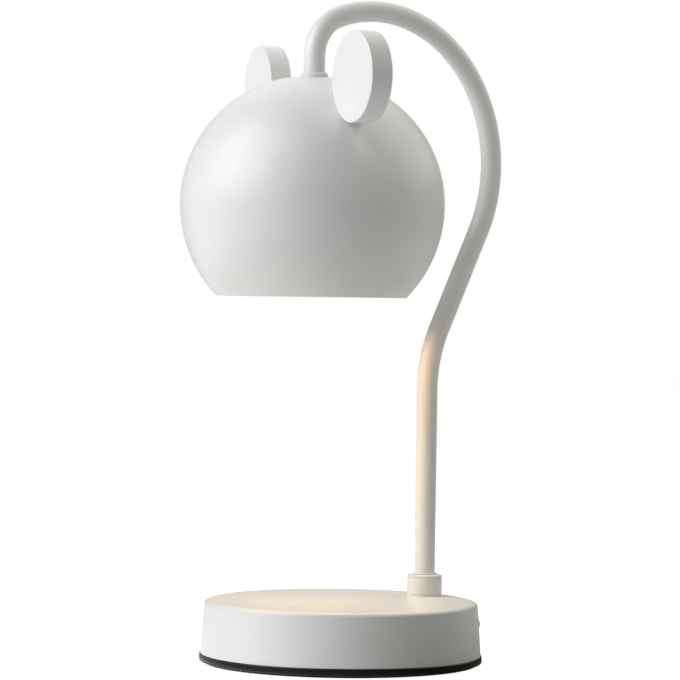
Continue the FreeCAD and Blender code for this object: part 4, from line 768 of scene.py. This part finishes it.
def filament_coil():
    """Wound tungsten wire on two posts inside the capsule."""
    low, high = (corner.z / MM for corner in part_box("bulb_capsule"))
    coil = grow("filament_wire", coil_tree("filament", finishes["filament"]), {
        "Radius": COIL_R * MM, "Length": COIL_LENGTH * MM, "Turns": COIL_TURNS,
        "Ridge": WIRE_R * MM, "Sides": 6, "Steps": 20})
    coil.data.transform(Matrix.Translation((0, SHADE_Y * MM, (low + COIL_LIFT) * MM)))
    posts = bmesh.new()
    root = high - POST_ROOT
    for x, radius, height in POSTS:
        tip = low + height
        profile = [Vector(p) for p in ((0, tip), (radius, tip), (radius, root), (0, root))]
        lathe(profile, x, SHADE_Y, sides=12, form=posts)
    return join_meshes("filament_coil", coil, solid("filament_posts", posts))


# ------------------------------------------------------------------ studio
FLOOR_R = 6.0
FLOOR_DROP = 0.0002                 # below the lamp's foot
FLOOR_LIFT = 0.95                   # what the camera sees of the floor, on top of its shading
FLOOR_PAINTED_SHADE = (0.14, 0.85)          # painted shade: how pale the floor is, dark near the lamp as if in its shadow, pale far off
PAINTED_SHADE_REACH = (0.10, 0.60)          # metres out over which the painted shade fades, from near to far
GLOW_LEFT = (0.935, 0.38)           # painted light that the floor gives off, in place of light off a table, near the lamp and far
# weaker right of the lamp, as the camera sees it: painted shade where the lamp's shadow falls
GLOW_RIGHT = (0.04, 0.19)
GLOW_REACH = (0.14, 0.24)
GLOW_END = (0.7, 1.0)               # where it fades out
GLOW_SEAM = 0.05                    # half the width of the band where left becomes right
SKY = 0.05
COOL = (0.965, 0.985, 1.0)
SOFT = (0.97, 1.0, 0.91)
LAMPS = (                           # name, colour, watts, bearing from the camera, height angle
    ("window_light", COOL, 10.1, -70, 35),
    ("right_fill", SOFT, 1.85, 80, 40),
    ("back_fill", SOFT, 3.7, 120, 40),
    ("top_light", COOL, 2.6, 180, 50))
LAMP_SIZE = 0.9
LAMP_DISTANCE = 1.0
STUDIO_MIDDLE = Vector((0, 0, 0.16))
BULB_POWER = 0.38
BULB_COLOUR = (1.0, 0.56, 0.25)
BULB_ANGLE = math.radians(142)
BULB_FADE = 0.12                    # share of the beam that fades towards its edge
BULB_SOFT_R = 0.02
BULB_DROP = 0.002                   # the beam starts this far below the lens
CANDLE_POWER = 0.026                # a warm glow from where a candle would burn
CANDLE_COLOUR = (1.0, 0.64, 0.08)
CANDLE_SOFT_R = 0.03
CANDLE_MIDDLE = Vector((0, SHADE_Y * MM, 0.085))


def blend(nodes, links, share, first, second):
    """From one signal to another, by the share that a third gives."""
    mix = nodes.new("ShaderNodeMix")
    links.new(share, mix.inputs["Factor"])
    links.new(first, mix.inputs["A"])
    links.new(second, mix.inputs["B"])
    return mix.outputs["Result"]


def lay_floor():
    """Pale disc that shades like a table, painted darker near the lamp as painted shade, and gives
    off painted light as a table sends light up, less on the right.
    """
    form = bmesh.new()
    bmesh.ops.create_circle(form, cap_ends=True, radius=FLOOR_R, segments=96)
    mesh = bpy.data.meshes.new("studio_floor")
    form.to_mesh(mesh)
    form.free()
    floor = mesh_object("studio_floor", mesh)
    floor.location.z = -FLOOR_DROP
    material, nodes, links = new_material("pale_studio_floor")
    shader = nodes["Principled BSDF"]
    shader.inputs["Roughness"].default_value = 1.0
    shader.inputs["Specular IOR Level"].default_value = 0.0
    where = nodes.new("ShaderNodeTexCoord")
    away = nodes.new("ShaderNodeVectorMath")
    away.operation = "LENGTH"
    links.new(where.outputs["Object"], away.inputs[0])
    out = away.outputs["Value"]
    # painted shade: the floor's colour darkens towards the lamp
    near, far = ((shade,) * 3 for shade in FLOOR_PAINTED_SHADE)
    links.new(tint(nodes, links, out, near, far, *PAINTED_SHADE_REACH), shader.inputs["Base Color"])
    across = nodes.new("ShaderNodeVectorMath")
    across.operation = "DOT_PRODUCT"
    across.inputs[1].default_value = VIEW_RIGHT
    links.new(where.outputs["Object"], across.inputs[0])
    # painted light: the floor's glow, weaker right of the lamp than left
    sides = [spread(nodes, links, out, *glow, *GLOW_REACH) for glow in (GLOW_LEFT, GLOW_RIGHT)]
    share = spread(nodes, links, across.outputs["Value"], 0, 1, -GLOW_SEAM, GLOW_SEAM)
    level = blend(nodes, links, share, *sides)
    edge = nodes.new("ShaderNodeMath")
    edge.operation = "MULTIPLY"
    links.new(level, edge.inputs[0])
    links.new(spread(nodes, links, out, 1, 0, *GLOW_END), edge.inputs[1])
    glow = nodes.new("ShaderNodeEmission")
    links.new(edge.outputs[0], glow.inputs["Strength"])
    lift = add(nodes, "ShaderNodeEmission", Strength=FLOOR_LIFT)
    lit = []
    for extra in (glow, lift):
        both = nodes.new("ShaderNodeAddShader")
        links.new(shader.outputs[0], both.inputs[0])
        links.new(extra.outputs[0], both.inputs[1])
        lit.append(both.outputs[0])
    path = nodes.new("ShaderNodeLightPath")
    seen = nodes.new("ShaderNodeMixShader")
    links.new(path.outputs["Is Camera Ray"], seen.inputs["Fac"])
    links.new(lit[0], seen.inputs[1])
    links.new(lit[1], seen.inputs[2])
    links.new(seen.outputs[0], nodes["Material Output"].inputs["Surface"])
    floor.data.materials.append(material)


def light_room():
    """A faint even glow from the room, and a white backdrop for the camera."""
    world = bpy.data.worlds.new("studio")
    bpy.context.scene.world = world
    world.use_nodes = True
    nodes, links = world.node_tree.nodes, world.node_tree.links
    room = nodes["Background"]
    room.inputs["Color"].default_value = (*SOFT, 1)
    room.inputs["Strength"].default_value = SKY
    backdrop = add(nodes, "ShaderNodeBackground", Color=(1, 1, 1, 1), Strength=1.0)
    path = nodes.new("ShaderNodeLightPath")
    pick = nodes.new("ShaderNodeMixShader")
    links.new(path.outputs["Is Camera Ray"], pick.inputs["Fac"])
    links.new(room.outputs[0], pick.inputs[1])
    links.new(backdrop.outputs[0], pick.inputs[2])
    links.new(pick.outputs[0], nodes["World Output"].inputs["Surface"])


def add_light(name, kind, power, colour):
    """A light at the origin."""
    data = bpy.data.lights.new(name, kind)
    data.energy = power
    data.color = colour
    lamp = bpy.data.objects.new(name, data)
    bpy.context.scene.collection.objects.link(lamp)
    return lamp


def light_studio():
    """Large soft lamps round the object."""
    for name, colour, power, bearing, height in LAMPS:
        lamp = add_light(name, "AREA", power, colour)
        lamp.data.size = LAMP_SIZE
        turn, rise = math.radians(bearing), math.radians(height)
        level = VIEW_RIGHT * math.sin(turn) - VIEW_DIRECTION * math.cos(turn)
        toward = level * math.cos(rise) + UP * math.sin(rise)
        lamp.location = STUDIO_MIDDLE + toward * LAMP_DISTANCE
        lamp.rotation_euler = toward.to_track_quat("Z", "Y").to_euler()


def light_bulb():
    """The warming bulb's own beam, which moves with the bulb."""
    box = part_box("bulb_lens")
    centre = (Vector(box[0]) + Vector(box[1])) / 2
    beam = add_light("bulb_beam", "SPOT", BULB_POWER, BULB_COLOUR)
    beam.data.spot_size = BULB_ANGLE
    beam.data.spot_blend = BULB_FADE
    beam.data.shadow_soft_size = BULB_SOFT_R
    beam.location = (centre.x, centre.y, box[0][2] - BULB_DROP)
    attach(beam, "bulb")


def light_candle():
    """Soft glow that warms the column, the collar and the base, without a candle in the scene."""
    glow = add_light("candle_glow", "POINT", CANDLE_POWER, CANDLE_COLOUR)
    glow.data.shadow_soft_size = CANDLE_SOFT_R
    glow.visible_camera = False
    glow.location = CANDLE_MIDDLE


# ------------------------------------------------------------------ make everything
place_camera()
bpy.context.scene.view_settings.view_transform = "Standard"
finishes = make_finishes()
for part in frame["record"]["subparts"]:
    if part["node"] in frame["nodes"]:
        dress(part["node"], finishes[part["material_slot"]])
fit_out(arm_pipe(), "white_coat", "white_coat", "arm", "arm_tube")
fit_out(turned_collar(), "white_coat", "white_coat", "base", "column_collar")
fit_out(neck_ring(), "white_coat", "white_coat", "arm", "neck_ferrule")
fit_out(foot_tread(), "pad_rubber", "pad_rubber", "base", "foot_pad")
fit_out(inlet_bush(), "gland_black", "gland_black", "base", "cord_gland")
fit_out(nipple_thread(), "zinc_steel", "zinc_steel", "arm", "neck_nipple")
fit_out(reflector_bowl(), "bulb_mirror", "bulb_mirror", "bulb", "bulb_reflector")
fit_out(lens_glass(), "bulb_glass", "bulb_glass", "bulb", "bulb_lens")
fit_out(filament_coil(), "filament", "bulb_nickel", "bulb")
light_room()
light_studio()
lay_floor()
light_bulb()
light_candle()
